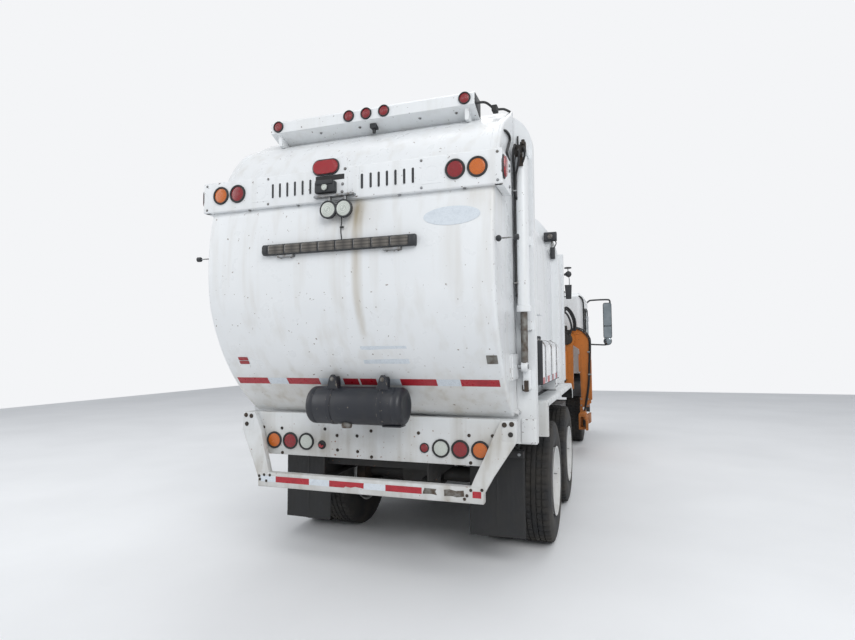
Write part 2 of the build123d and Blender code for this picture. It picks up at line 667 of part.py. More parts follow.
# Signal bar under the light bar, and the round canister hung from the tailgate's foot.
signal_z = (2345.0, 2420.0)
signal_half_length = 568.0
signal_rear_y = rear_axle_y - rear_overhang
signal_cells = 8
signal_cell_span = 522.0
with BuildPart() as signal_bar:
    block((-signal_half_length, signal_half_length), (signal_rear_y, rear_axle_y - 1780), signal_z)
    fillet(signal_bar.edges().filter_by(Axis.X).sort_by(Axis.Y)[:2], 12)
    for index in range(signal_cells + 1):
        rib_x = (2 * index / signal_cells - 1) * signal_cell_span
        block((rib_x - 3, rib_x + 3), (signal_rear_y - 1, signal_rear_y + 4), signal_z, Mode.SUBTRACT)
    for x in (-390, 400):
        block((x - 62, x + 62), (signal_rear_y + 18, rear_axle_y - 1790), (signal_z[0] - 16, signal_z[0]))
    across(gate_outline.sketch, (-signal_half_length, signal_half_length), Mode.SUBTRACT)
keep(signal_bar, "signal_bar")

canister_radius = 132.0
canister_y = rear_axle_y - 1545.0
canister_z = 1297.0
with BuildPart() as canister:
    bar_x((-395, 410), canister_y, canister_z, canister_radius)
    chamfer(canister.edges().filter_by(GeomType.CIRCLE), 26)
    for x in (-136, 248):
        lug_face = face_of((x - 54, canister_z + 90), (x - 24, canister_z + 193), (x - 10, canister_z + 217),
                           (x + 10, canister_z + 217), (x + 24, canister_z + 193), (x + 54, canister_z + 90))
        along(lug_face, (canister_y - 61, canister_y - 29))
        block((x - 20, x + 20), (canister_y - 30, canister_y + 200), (canister_z + 105, canister_z + 203))
        block((x - 16, x + 16), (canister_y - 61, canister_y - 29), (canister_z + 80, canister_z + 100))
    across(gate_outline.sketch, (-420, 420), Mode.SUBTRACT)
keep(canister, "canister")

# Short marker rods that stand out from the tailgate's sides.
with BuildPart() as marker_rods:
    for name, side in sides:
        bar_x(on_side(side, (gate_half_width, gate_half_width + 125)), rear_axle_y - 1750, 2370, 8)
        bar_x(on_side(side, (gate_half_width + 115, gate_half_width + 145)), rear_axle_y - 1750, 2370, 18)
keep(marker_rods, "marker_rods")

# Lift cylinders: barrels that hang from the ring and rods that reach the tailgate's sides.
for name, side in sides:
    with BuildPart() as barrel:
        bar_z(side * cylinder_x, cylinder_top_y, (cylinder_top_z - barrel_length, cylinder_top_z - 50),
              cylinder_radius)
        block((side * cylinder_x - 22, side * cylinder_x + 22), (cylinder_top_y - 30, cylinder_top_y + 30),
              (cylinder_top_z - 60, cylinder_top_z))
        bar_x((side * cylinder_x - 22, side * cylinder_x + 22), cylinder_top_y, cylinder_top_z, 30)
        bar_x((side * cylinder_x - 22, side * cylinder_x + 22), cylinder_top_y, cylinder_top_z,
              eye_pin_radius + pin_gap, Mode.SUBTRACT)
        bar_z(side * cylinder_x, cylinder_top_y, (cylinder_top_z - barrel_length, cylinder_top_z - 90),
              rod_radius + pin_gap, Mode.SUBTRACT)
    keep(barrel, f"tailgate_cylinder_{name}")
    with BuildPart() as rod:
        bar_z(side * cylinder_x, cylinder_top_y, (rod_eye_z + 20, cylinder_top_z - 120), rod_radius)
        bar_x((side * cylinder_x - 22, side * cylinder_x + 22), cylinder_top_y, rod_eye_z, 34)
        bar_x(on_side(side, (gate_half_width + ear_wall + pin_gap, cylinder_x)), cylinder_top_y, rod_eye_z,
              eye_pin_radius)
    keep(rod, f"tailgate_rod_{name}")

# Packer: the ram that sweeps the hopper and pushes the load out of the body.
packer_half_width = hopper_inner_half - 8.0
packer_y = (front_axle_y - 1700.0, front_axle_y - 1170.0)
packer_z = (load_floor_z + 5.0, 2180.0)
with BuildPart() as packer:
    packer_face = face_of(
        (packer_y[0], packer_z[0]), (packer_y[0], packer_z[1] - 330), (packer_y[0] + 160, packer_z[1]),
        (packer_y[1], packer_z[1]), (packer_y[1], packer_z[0]),
    )
    across(packer_face, (-packer_half_width, packer_half_width))
    block((60 - packer_half_width, -40), (packer_y[0] + 180, packer_y[1]),
          (packer_z[0] + 60, packer_z[1] - 30),
          Mode.SUBTRACT)
    block((40, packer_half_width - 60), (packer_y[0] + 180, packer_y[1]),
          (packer_z[0] + 60, packer_z[1] - 30),
          Mode.SUBTRACT)
    for name, side in sides:
        block(on_side(side, (700, 800)), (packer_y[0] + 20, packer_y[1] - 20),
              (load_floor_z + pad_gap, packer_z[0]))
keep(packer, "packer")

# Loading arm: a hollow beam across the frame, which holds the sliding beam.
with BuildPart() as arm_base:
    block(beam_x, beam_y, beam_z)
    block(beam_x, (beam_y[0] + beam_wall, beam_y[1] - beam_wall),
          (beam_z[0] + beam_wall, beam_z[1] - beam_wall),
          Mode.SUBTRACT)
    for x in (beam_x[0], beam_x[1] - 150):
        block((x, x + 150), (beam_y[0] + beam_wall, beam_y[1] - beam_wall),
              (beam_z[0] + beam_wall, beam_z[0] + beam_wall + running_gap - pad_gap))
    for name, side in sides:
        block(on_side(side, (rail_outer_x - subframe_width, rail_outer_x)), beam_y, (rail_top_z, beam_z[0]))
keep(arm_base, "arm_base")

with BuildPart() as arm_slide:
    block((beam_x[0] + 20, mast_x[1]),
          (beam_y[0] + beam_wall + running_gap, beam_y[1] - beam_wall - running_gap),
          (beam_z[0] + beam_wall + running_gap, beam_z[1] - beam_wall - running_gap))
    block(mast_x, mast_y, (beam_z[0], arm_pivot_z - 60))
    bar_y(arm_pivot_x, mast_y, arm_pivot_z, arm_hub_radius)
    bar_y(arm_pivot_x, (mast_y[1], arm_y[1] + 20), arm_pivot_z, 60)
keep(arm_slide, "arm_slide")

# Lift arm: a hub, a neck that bends over, and a straight leg with the gripper's carrier.
with BuildPart() as lift_arm:
    with BuildSketch() as arm_outline:
        with BuildLine():
            start = Line((arm_pivot_x - 90, arm_pivot_z + 60), (arm_pivot_x + 60, arm_pivot_z + 190))
            outer = RadiusArc(start @ 1, (arm_leg_x[1], arm_pivot_z - 90), 290)
            down = Line(outer @ 1, (arm_leg_x[1] - 20, arm_foot_z))
            sole = Line(down @ 1, (arm_leg_x[0] + 20, arm_foot_z))
            up = Line(sole @ 1, (arm_leg_x[0], arm_pivot_z - 170))
            inner = Line(up @ 1, (arm_pivot_x + 60, arm_pivot_z - 80))
            Line(inner @ 1, start @ 0)
        make_face()
    along(arm_outline.sketch, arm_y)
    bar_y(arm_pivot_x, arm_y, arm_pivot_z, arm_hub_radius)
    bar_y(arm_pivot_x, arm_y, arm_pivot_z, 60 + pin_gap, Mode.SUBTRACT)
    block((arm_leg_x[0] - 5, finger_pivot_x - 45), arm_y, (gripper_z[0], arm_foot_z + 10))
    block((finger_pivot_x - 70, finger_pivot_x + 10), (finger_pivot_y[0] - 60, arm_y[1]),
          (gripper_z[0], gripper_z[0] + 40))
    block((finger_pivot_x - 70, finger_pivot_x + 10), (finger_pivot_y[0] - 60, arm_y[1]),
          (gripper_z[1] - 40, gripper_z[1]))
    block((finger_pivot_x - 70, finger_pivot_x - 45), (finger_pivot_y[0] - 60, arm_y[1]), gripper_z)
    for y in finger_pivot_y:
        for z in (gripper_z[0], gripper_z[1] - 40):
            bar_z(finger_pivot_x, y, (z, z + 40), 45)
        bar_z(finger_pivot_x, y, gripper_z, finger_pin_radius)
keep(lift_arm, "lift_arm")

# Gripper fingers: curved arms on upright pins, folded flat along the truck at rest.
finger_z = (gripper_z[0] + 40 + running_gap, gripper_z[1] - 40 - running_gap)
for name, y, way in (("rear", finger_pivot_y[0], -1), ("front", finger_pivot_y[1], 1)):
    with BuildPart() as finger:
        with BuildSketch(Plane.XY.offset(finger_z[0])):
            with BuildLine():
                inside = ThreePointArc((finger_pivot_x - 22, y),
                                       (finger_pivot_x + 34, y + way * finger_length / 2),
                                       (finger_pivot_x + 60, y + way * finger_length))
                tip = Line(inside @ 1, (finger_pivot_x + 90, y + way * finger_length))
                outside = ThreePointArc(tip @ 1, (finger_pivot_x + 84, y + way * finger_length / 2),
                                        (finger_pivot_x + 30, y))
                Line(outside @ 1, inside @ 0)
            make_face()
        extrude(amount=finger_z[1] - finger_z[0])
        bar_z(finger_pivot_x, y, finger_z, 38)
        bar_z(finger_pivot_x, y, finger_z, finger_pin_radius + pin_gap, Mode.SUBTRACT)
    keep(finger, f"finger_{name}")

# Knuckles: two ears on the king pin, and the spindle that the front wheel turns on.
spindle_radius = hub_bore_radius - pin_gap
ear_z = ((king_boss_z[0] - 36, king_boss_z[0] - 1), (king_boss_z[1] + 1, king_boss_z[1] + 36))
for name, side in sides:
    with BuildPart() as knuckle:
        for pair in ear_z:
            block(on_side(side, (king_pin_x - 40, king_pin_x + 80)),
                  (front_axle_y - 40, front_axle_y + 40), pair)
        bar_z(side * king_pin_x, front_axle_y, (ear_z[0][0], ear_z[1][1]), king_pin_radius)
        block(on_side(side, (king_pin_x + 52, king_pin_x + 80)), (front_axle_y - 70, front_axle_y + 70),
              (ear_z[0][0], ear_z[1][1]))
        bar_x(on_side(side, (king_pin_x + 60, front_wheel_x + 140)), front_axle_y, front_tyre_radius,
              spindle_radius)
    keep(knuckle, f"knuckle_{name}")


# A tyre's section: a plain ring between the bead and the tread, as (distance along the axle, radius).
def tyre_face(middle, tread_radius):
    return face_of((middle - tyre_half_width, bead_radius), (middle - tyre_half_width, tread_radius),
                   (middle + tyre_half_width, tread_radius), (middle + tyre_half_width, bead_radius))


# A ring made by turning a face, drawn as (X, radius), about an axle.
def turned(face, axle_y, axle_z):
    with BuildSketch(Plane(origin=(0, axle_y, axle_z), x_dir=(1, 0, 0), z_dir=(0, -1, 0))) as placed:
        add(face)
    revolve(placed.sketch, axis=Axis((0, axle_y, axle_z), (1, 0, 0)))


# Twin rear wheels: two tyres on one spool, dished on its outer side round the hub.
rim_half_width = tyre_half_width - 6.0
dish_radius = bead_radius - rim_wall
dish_floor_x = dual_plane_x + 40.0
hub_end_x = dual_plane_x + 190.0
for axle_name, axle_y in rear_axles_y:
    for name, side in sides:
        with BuildPart() as tyres:
            for way in (-1, 1):
                turned(tyre_face(side * (dual_plane_x + way * dual_half_spacing), rear_tyre_radius),
                       axle_y, rear_tyre_radius)
        keep(tyres, f"tyres_{axle_name}_{name}")
        outer_face_x = dual_plane_x + dual_half_spacing + rim_half_width
        with BuildPart() as rims:
            bar_x(on_side(side, (dual_plane_x - dual_half_spacing - rim_half_width, outer_face_x)), axle_y,
                  rear_tyre_radius,
                  bead_radius)
            bar_x(on_side(side, (dish_floor_x, outer_face_x)), axle_y, rear_tyre_radius, dish_radius,
                  Mode.SUBTRACT)
            bar_x(on_side(side, (dish_floor_x, hub_end_x)), axle_y, rear_tyre_radius, hub_radius)
            bar_x(on_side(side, (0, axle_end_x - 90)), axle_y, rear_tyre_radius,
                  axle_tube_radius + pin_gap, Mode.SUBTRACT)
        keep(rims, f"rims_{axle_name}_{name}")

# Front wheels: one tyre and one rim each, deeply dished towards the knuckle.
front_disc_x = (front_wheel_x + 60.0, front_wheel_x + 90.0)
front_rim_x = (front_wheel_x - rim_half_width, front_wheel_x + rim_half_width)
for name, side in sides:
    with BuildPart() as front_tyre:
        turned(tyre_face(side * front_wheel_x, front_tyre_radius), front_axle_y, front_tyre_radius)
    keep(front_tyre, f"tyre_front_{name}")
    with BuildPart() as front_rim:
        bar_x(on_side(side, front_rim_x), front_axle_y, front_tyre_radius, bead_radius)
        for dish_x in ((front_rim_x[0], front_disc_x[0]), (front_disc_x[1], front_rim_x[1])):
            bar_x(on_side(side, dish_x), front_axle_y, front_tyre_radius, dish_radius, Mode.SUBTRACT)
        bar_x(on_side(side, (front_disc_x[0] - 30, front_wheel_x + 180)), front_axle_y, front_tyre_radius,
              hub_radius)
        bar_x(on_side(side, (front_disc_x[0] - 30, front_wheel_x + 140)), front_axle_y, front_tyre_radius,
              hub_bore_radius, Mode.SUBTRACT)
    keep(front_rim, f"rim_front_{name}")

# Cab shell: a hollow box over the engine, with the wheel arches, the engine's tunnel and
# the openings for doors and windows cut from it.
cab_inner = cab_half_width - cab_wall
cab_inner_y = (cab_rear_y + cab_wall, cab_front_y - cab_wall)
screen_x = (-1010.0, 1010.0)
screen_z = (1640.0, 2540.0)
rear_window_x = (-460.0, 460.0)
rear_window_z = (1850.0, 2380.0)
quarter_y = (front_axle_y - 290.0, front_axle_y + 200.0)
quarter_z = (1760.0, 2430.0)
cab_side_x = (cab_inner - 5, cab_half_width + 10)
grille_x = (-560.0, 560.0)
grille_z = (1300.0, 1560.0)
grille_depth = 22.0
grille_bars = 6
grille_pitch = (grille_z[1] - grille_z[0]) / grille_bars
with BuildPart() as cab_shell:
    block((-cab_half_width, cab_half_width), (cab_rear_y, cab_front_y), (cab_base_z, cab_roof_z))
    fillet(cab_shell.edges().filter_by(Axis.Z), cab_corner_radius)
    chamfer(cab_shell.faces().sort_by(Axis.Z)[-1].edges(), 70)
    block((-cab_inner, cab_inner), cab_inner_y, (cab_floor_z, cab_roof_z - cab_wall), Mode.SUBTRACT)
    block((-cab_inner, cab_inner), (step_y, cab_inner_y[1]), (cab_base_z - 10, cab_floor_z), Mode.SUBTRACT)
    block((-tunnel_half_width - tunnel_wall, tunnel_half_width + tunnel_wall),
          (cab_inner_y[0], tunnel_front_y),
          (cab_base_z, tunnel_top_z + tunnel_wall))
    block((-tunnel_half_width - tunnel_wall, tunnel_half_width + tunnel_wall), (step_y, cab_inner_y[1]),
          (cab_base_z, cab_floor_z + 60))
    block((-tunnel_half_width, tunnel_half_width), (cab_rear_y - 10, tunnel_front_y - tunnel_wall),
          (cab_base_z - 10, tunnel_top_z), Mode.SUBTRACT)
    block((-tunnel_half_width, tunnel_half_width), (tunnel_front_y - tunnel_wall - 26, cab_inner_y[1]),
          (cab_base_z - 10, cab_floor_z), Mode.SUBTRACT)
    for name, side in sides:
        block(on_side(side, cab_side_x), door_y, (cab_base_z - 10, door_z[1]), Mode.SUBTRACT)
        block(on_side(side, cab_side_x), quarter_y, quarter_z, Mode.SUBTRACT)
        for z in door_hinge_z:
            for ear_z_low in (z - hinge_half_height - 11, z + hinge_half_height + 1):
                ear = (ear_z_low, ear_z_low + 10)
                ear_x = (door_hinge_x - hinge_barrel_radius, door_hinge_x + hinge_barrel_radius)
                block(on_side(side, (cab_half_width - 12, ear_x[1])), (door_y[1], door_y[1] + 30), ear)
                block(on_side(side, ear_x), (door_hinge_y, door_y[1] + 1), ear)
                bar_z(side * door_hinge_x, door_hinge_y, ear, hinge_barrel_radius)
            bar_z(side * door_hinge_x, door_hinge_y,
                  (z - hinge_half_height - 11, z + hinge_half_height + 11), door_pin_radius)
    block(screen_x, (cab_inner_y[1] - 5, cab_front_y + 10), screen_z, Mode.SUBTRACT)
    block(rear_window_x, (cab_rear_y - 10, cab_inner_y[0] + 5), rear_window_z, Mode.SUBTRACT)
    block(grille_x, (cab_front_y - grille_depth, cab_front_y + 1), grille_z, Mode.SUBTRACT)
    for index in range(grille_bars):
        bar_low = grille_z[0] + (index + 0.5) * grille_pitch
        grille_bar = face_of((cab_front_y - grille_depth - 2, bar_low + 14),
                             (cab_front_y - grille_depth - 2, bar_low + 24),
                             (cab_front_y - 3, bar_low + 10), (cab_front_y - 3, bar_low))
        across(grille_bar, (grille_x[0] - 2, grille_x[1] + 2))
keep(cab_shell, "cab_shell")

# Lower front of the cab: the step wells behind the bumper, and the bosses that the cab tilts on.
with BuildPart() as cab_steps:
    block((-cab_half_width, cab_half_width), (step_rear_y, cab_front_y), (cab_bottom_z, cab_base_z))
    fillet(cab_steps.edges().filter_by(Axis.Z).sort_by(Axis.Y)[-2:], cab_corner_radius)
    block((-cab_inner, cab_inner), (step_y, cab_inner_y[1]), (step_floor_z, cab_base_z + 10), Mode.SUBTRACT)
    block((-tunnel_half_width - tunnel_wall, tunnel_half_width + tunnel_wall), (step_rear_y, cab_inner_y[1]),
          (cab_bottom_z, cab_base_z))
    block((-tunnel_half_width, tunnel_half_width), (step_rear_y - 10, cab_inner_y[1]),
          (cab_bottom_z - 10, cab_base_z + 10),
          Mode.SUBTRACT)
    for name, side in sides:
        block(on_side(side, cab_side_x), (step_rear_y - 10, door_y[1]),
              (cab_bottom_z - 10, cab_base_z + 10), Mode.SUBTRACT)
        bar_x(on_side(side, (tunnel_half_width - 5, arch_inner_x + 80)), tilt_y, tilt_z, 60)
        bar_x(on_side(side, (tunnel_half_width - 5, arch_inner_x + 80)), tilt_y, tilt_z,
              tilt_pin_radius + pin_gap, Mode.SUBTRACT)
keep(cab_steps, "cab_steps")

# Guards over the front wheels, hung from the cab's floor.
guard_start, guard_end = 28.0, 152.0
with BuildPart() as cab_fenders:
    for name, side in sides:
        with BuildSketch(Plane.YZ.offset(min(on_side(side, arch_guard_x)))):
            with Locations((front_axle_y, front_tyre_radius)):
                Circle(arch_radius + arch_guard_wall)
                Circle(arch_radius, mode=Mode.SUBTRACT)
            with BuildLine():
                Polyline((front_axle_y, front_tyre_radius),
                         (front_axle_y + 1200 * cos(radians(guard_start)),
                          front_tyre_radius + 1200 * sin(radians(guard_start))),
                         (front_axle_y, front_tyre_radius + 1600),
                         (front_axle_y + 1200 * cos(radians(guard_end)),
                          front_tyre_radius + 1200 * sin(radians(guard_end))),
                         close=True)
            make_face(mode=Mode.INTERSECT)
        extrude(amount=arch_guard_x[1] - arch_guard_x[0])
        block(on_side(side, (arch_guard_x[0] + 60, arch_guard_x[0] + 120)),
              (front_axle_y - 60, front_axle_y + 60),
              (front_tyre_radius + arch_radius + 5, cab_base_z))
keep(cab_fenders, "cab_fenders")

# Fixed panes of the cab.
pane_inset = (cab_wall - glass_wall) / 2
with BuildPart() as cab_glass:
    block(screen_x, (cab_front_y - pane_inset - glass_wall, cab_front_y - pane_inset), screen_z)
    block(rear_window_x, (cab_rear_y + pane_inset, cab_rear_y + pane_inset + glass_wall), rear_window_z)
    for name, side in sides:
        block(on_side(side, (cab_half_width - pane_inset - glass_wall, cab_half_width - pane_inset)),
              quarter_y, quarter_z)
keep(cab_glass, "cab_glass")

# Doors with their own panes. The lower rear corner follows the wheel arch.
for name, side in sides:
    door_x = on_side(side, (cab_inner, cab_half_width))
    with BuildPart() as door:
        block(door_x, (door_y[0] + door_gap, door_y[1] - door_gap),
              (door_z[0] + door_gap, door_z[1] - door_gap))
        bar_x(door_x, front_axle_y, front_tyre_radius, door_arch_radius, Mode.SUBTRACT)
        block(door_x, door_window_y, door_window_z, Mode.SUBTRACT)
        for z in door_hinge_z:
            barrel_z = (z - hinge_half_height, z + hinge_half_height)
            block(on_side(side, (cab_half_width - 4, door_hinge_x)), (door_hinge_y - 50, door_hinge_y),
                  barrel_z)
            bar_z(side * door_hinge_x, door_hinge_y, barrel_z, hinge_barrel_radius)
            bar_z(side * door_hinge_x, door_hinge_y, barrel_z, door_pin_radius + pin_gap, Mode.SUBTRACT)
    keep(door, f"door_{name}")
    with BuildPart() as door_glass:
        block(on_side(side, (cab_half_width - pane_inset - glass_wall, cab_half_width - pane_inset)),
              door_window_y, door_window_z)
    keep(door_glass, f"door_glass_{name}")

# Seats, dashboard and steering wheel.
seat_x = 800.0
with BuildPart() as seats:
    for name, side in sides:
        x = (side * seat_x - 240, side * seat_x + 240)
        block((side * seat_x - 180, side * seat_x + 180), (front_axle_y - 90, front_axle_y + 310),
              (cab_floor_z, 1580))
        block(x, (front_axle_y - 170, front_axle_y + 340), (1580, 1700))
        block(x, (front_axle_y - 270, front_axle_y - 150), (1580, 2350))
keep(seats, "seats")

with BuildPart() as dashboard:
    block((-cab_inner, cab_inner), (front_axle_y + 1030, cab_inner_y[1]), (cab_floor_z + 120, 1620))
    for name, side in sides:
        block(on_side(side, (cab_inner - 40, cab_inner)), (front_axle_y + 1210, cab_inner_y[1]),
              (step_floor_z, cab_floor_z + 120))
keep(dashboard, "dashboard")

# Mirrors on arms from the cab's front posts.
mirror_x = (1480.0, 1665.0)
mirror_z = (1740.0, 2590.0)
mirror_arm_z = (1800.0, 2530.0)
mirror_arm_radius = 14.0
mirror_foot_x = 1060.0
with BuildPart() as mirrors:
    for name, side in sides:
        for z in mirror_arm_z:
            block((side * mirror_foot_x - 20, side * mirror_foot_x + 20),
                  (cab_front_y, cab_front_y + mirror_arm_radius),
                  (z - 20, z + 20))
            bar_x(on_side(side, (mirror_foot_x, mirror_x[0] + 60)), cab_front_y + mirror_arm_radius + 5, z,
                  mirror_arm_radius)
        block(on_side(side, mirror_x), (cab_front_y - 15, cab_front_y + 60), mirror_z)
keep(mirrors, "mirrors")
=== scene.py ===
from math import cos, pi, radians, sin

import bmesh
import bpy
import numpy as np
from mathutils import Matrix, Vector


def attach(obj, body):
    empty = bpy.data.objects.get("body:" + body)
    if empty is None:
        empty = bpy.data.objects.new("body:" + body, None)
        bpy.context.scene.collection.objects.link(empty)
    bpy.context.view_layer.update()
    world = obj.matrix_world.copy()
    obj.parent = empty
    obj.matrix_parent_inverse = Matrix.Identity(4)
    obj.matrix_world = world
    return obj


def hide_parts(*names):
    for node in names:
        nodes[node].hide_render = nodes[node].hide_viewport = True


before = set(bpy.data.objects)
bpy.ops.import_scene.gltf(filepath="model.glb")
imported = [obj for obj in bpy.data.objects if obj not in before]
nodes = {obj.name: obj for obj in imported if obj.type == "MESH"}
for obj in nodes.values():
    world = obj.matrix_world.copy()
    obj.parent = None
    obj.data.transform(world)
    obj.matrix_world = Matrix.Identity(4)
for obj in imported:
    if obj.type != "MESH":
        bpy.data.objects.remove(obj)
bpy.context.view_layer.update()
print("frame loaded")

# Places are in millimetres: X to the right, Y forward from the rear axle, Z up from the ground.
# addPiece moves them to the frame and turns them into metres.
rearAxleY = -2595.0
toMetres = 0.001
mergeDistance = 2e-5  # metres
sides = (("left", -1), ("right", 1))

# For a bar along each axis: which of (along, across, up) gives X, Y and Z.
axisOrder = {"x": (0, 1, 2), "y": (1, 0, 2), "z": (1, 2, 0)}
axisPlane = {"x": (1, 2), "y": (0, 2), "z": (0, 1)}


# Vectors drawn out or shrunk to length one.
def unit(vectors):
    return vectors / np.maximum(np.linalg.norm(vectors, axis=-1, keepdims=True), 1e-9)


# A surface over two parameters: neighbours in a rows × columns grid of points are joined by quads.
# wrap joins the last column to the first, wrapRows the last row to the first, caps close the end rows.
def gridPart(points, slot=0, wrap=True, wrapRows=False, caps=True, wear=0.0):
    points = np.asarray(points, float)
    rows, cols = points.shape[:2]
    index = np.arange(rows * cols).reshape(rows, cols)
    ring = np.concatenate([index, index[:, :1]], 1) if wrap else index
    ring = np.concatenate([ring, ring[:1]]) if wrapRows else ring
    uv = np.stack(np.meshgrid(*[np.linspace(0, 1, n) for n in ring.shape], indexing="ij"), -1)
    low, high = slice(None, -1), slice(1, None)
    corners = ((low, low), (high, low), (high, high), (low, high))
    faces = [(np.stack([ring[c] for c in corners], -1).reshape(-1, 4),
              np.stack([uv[c] for c in corners], 2).reshape(-1, 4, 2))]
    if caps and wrap and not wrapRows:
        faces += [(index[row][None], uv[row, :cols][None]) for row in (0, -1)]
    wear = np.broadcast_to(wear, (rows, cols)).ravel()
    return {"points": points.reshape(-1, 3), "faces": faces, "slot": slot, "wear": wear}


# A closed outline carried along one axis; near each end it shrinks along its own normals
# as a quarter circle, so that the edges are round. The rounded rows carry the wear value.
def slabPart(outline, axis, low, high, edge=3.0, slot=0, rim=None):
    low, high = min(low, high), max(low, high)
    outline = np.asarray(outline, float)
    before = unit(outline - np.roll(outline, 1, 0))
    after = unit(np.roll(outline, -1, 0) - outline)
    x, y = outline.T
    area = np.sum(x * np.roll(y, -1) - np.roll(x, -1) * y)
    normals = [np.sign(area) * np.stack([d[:, 1], -d[:, 0]], -1) for d in (before, after)]
    mitre = sum(normals) / (1 + np.sum(before * after, -1))[:, None].clip(0.3)
    size = min(np.ptp(outline, axis=0).min(), high - low)
    edge = min(edge, 0.4 * size)
    rim = min(8.0, 0.08 * size) if rim is None else rim
    quarter = np.linspace(0, pi / 2, 3)
    inset = np.concatenate([[edge + rim], edge * (1 - np.sin(quarter)), [0]])
    flat = edge + max(rim, min(8, 0.09 * (high - low)))
    depth = np.concatenate([[0], edge * (1 - np.cos(quarter)), [flat]])
    wear = np.array([0, 1, 1, 1, 0.0])
    rows = outline[None] - np.concatenate([inset, inset[::-1]])[:, None, None] * mitre[None]
    along = np.concatenate([low + depth, (high - depth)[::-1]])[:, None, None]
    points = np.concatenate([np.broadcast_to(along, rows.shape[:2] + (1,)), rows], -1)
    return gridPart(points[..., axisOrder[axis]], slot, wear=np.concatenate([wear, wear[::-1]])[:, None])


# A rectangle from two spans, each corner a quarter circle.
def roundedRect(a, b, corner, steps=4):
    a, b = sorted(a), sorted(b)
    corner = max(min(corner, 0.49 * (a[1] - a[0]), 0.49 * (b[1] - b[0])), 0.2)
    angle = np.linspace(0, pi / 2, steps)[None] + np.arange(4)[:, None] * pi / 2
    midA = np.array([a[1] - corner, a[0] + corner, a[0] + corner, a[1] - corner])[:, None]
    midB = np.array([b[1] - corner, b[1] - corner, b[0] + corner, b[0] + corner])[:, None]
    return np.stack([midA + corner * np.cos(angle), midB + corner * np.sin(angle)], -1).reshape(-1, 2)


# A block with all edges round: a rounded rectangle carried along its longest span.
def boxPart(x, y, z, edge=4.0, corner=6.0, slot=0):
    spans = {"x": x, "y": y, "z": z}
    axis = max(spans, key=lambda k: abs(spans[k][1] - spans[k][0]))
    a, b = [spans[k] for k in "xyz" if k != axis]
    return slabPart(roundedRect(a, b, corner), axis, *spans[axis], edge=edge, slot=slot)


# Several blocks, each row the values of one boxPart.
def boxParts(*rows):
    return [boxPart(*row) for row in rows]


# A profile of (along, radius) turned round an axis through centre.
def lathePart(profile, axis, centre, count=40, slot=0, wrapRows=False):
    profile = np.asarray(profile, float)
    angle = np.arange(count) * 2 * pi / count
    along = np.broadcast_to(profile[:, :1], (len(profile), count))
    points = np.stack([along, profile[:, 1:] * np.cos(angle), profile[:, 1:] * np.sin(angle)], -1)
    return gridPart(points[..., axisOrder[axis]] + np.asarray(centre, float), slot, wrapRows=wrapRows)


# A turned solid: its profile is closed by a flat face at each end.
def plugPart(profile, axis, centre, count=40, slot=0):
    ends = [(profile[-1][0], 0)] if profile[-1][1] else []
    return lathePart([(profile[0][0], 0), *profile, *ends], axis, centre, count, slot)


# The circle through three points in a plane, from the first to the last.
def arcThrough(a, b, c, count=9):
    a, b, c = (complex(*p) for p in (a, b, c))
    w = (c - a) / (b - a)
    middle = (b - a) * (w - abs(w) ** 2) / (w - w.conjugate()) + a
    start, sweep = np.angle(a - middle), np.angle((c - middle) / (a - middle))
    if np.angle((b - middle) / (a - middle)) * sweep < 0:
        sweep -= np.sign(sweep) * 2 * pi
    spin = middle + abs(a - middle) * np.exp(1j * (start + np.linspace(0, 1, count) * sweep))
    return np.stack([spin.real, spin.imag], -1)


# A smooth line through points: each span is a cubic whose slope at a point follows its neighbours.
def smoothPath(points, steps=6):
    p = np.asarray(points, float)
    p = np.concatenate([2 * p[:1] - p[1:2], p, 2 * p[-1:] - p[-2:-1]])
    t = np.linspace(0, 1, steps, endpoint=False)[None, :, None]
    a, b, c, d = p[:-3, None], p[1:-2, None], p[2:-1, None], p[3:, None]
    curve = 2 * b + (c - a) * t + (2 * a - 5 * b + 4 * c - d) * t**2 + (3 * b - a - 3 * c + d) * t**3
    return np.concatenate([0.5 * curve.reshape(-1, 3), p[-2:-1]])


# A round tube along a smooth path: circles square to the path, their zero angle kept near the
# direction in which the path spreads least.
def tubePart(points, radius, slot=0, count=10, steps=6):
    path = smoothPath(points, steps) if len(points) > 2 else np.asarray(points, float)
    tangent = unit(np.gradient(path, axis=0))
    flat = np.linalg.svd(path - path.mean(0) + 1e-6)[2][2]
    across = unit(np.cross(flat, tangent))
    up = np.cross(tangent, across)
    angle = np.arange(count)[:, None] * 2 * pi / count
    circles = across[:, None] * np.cos(angle) + up[:, None] * np.sin(angle)
    return gridPart(path[:, None] + radius * circles, slot)


# The same part again at each shift.
def copyPart(part, shifts):
    shifts = np.asarray(shifts, float).reshape(-1, 3)
    starts = np.arange(len(shifts))[:, None, None] * len(part["points"])
    return {"points": (part["points"][None] + shifts[:, None]).reshape(-1, 3), "slot": part["slot"],
            "faces": [((f[None] + starts).reshape(-1, f.shape[1]), np.tile(uv, (len(shifts), 1, 1)))
                      for f, uv in part["faces"]],
            "wear": np.tile(part["wear"], len(shifts))}


# The same part turned round an axis through centre, once for each angle.
def turnPart(part, axis, centre, angles):
    a, b = axisPlane[axis]
    points = np.repeat((part["points"] - centre)[None], len(angles), 0)
    c, s = np.cos(angles)[:, None], np.sin(angles)[:, None]
    u, v = points[..., a], points[..., b]
    points[..., a], points[..., b] = u * c - v * s, u * s + v * c
    return {**copyPart(part, np.zeros((len(angles), 3))), "points": points.reshape(-1, 3) + centre}


# The part on the other side of the truck, its faces kept outward.
def mirrorPart(part):
    return {**part, "points": part["points"] * (-1, 1, 1),
            "faces": [(f[:, ::-1], uv[:, ::-1]) for f, uv in part["faces"]]}


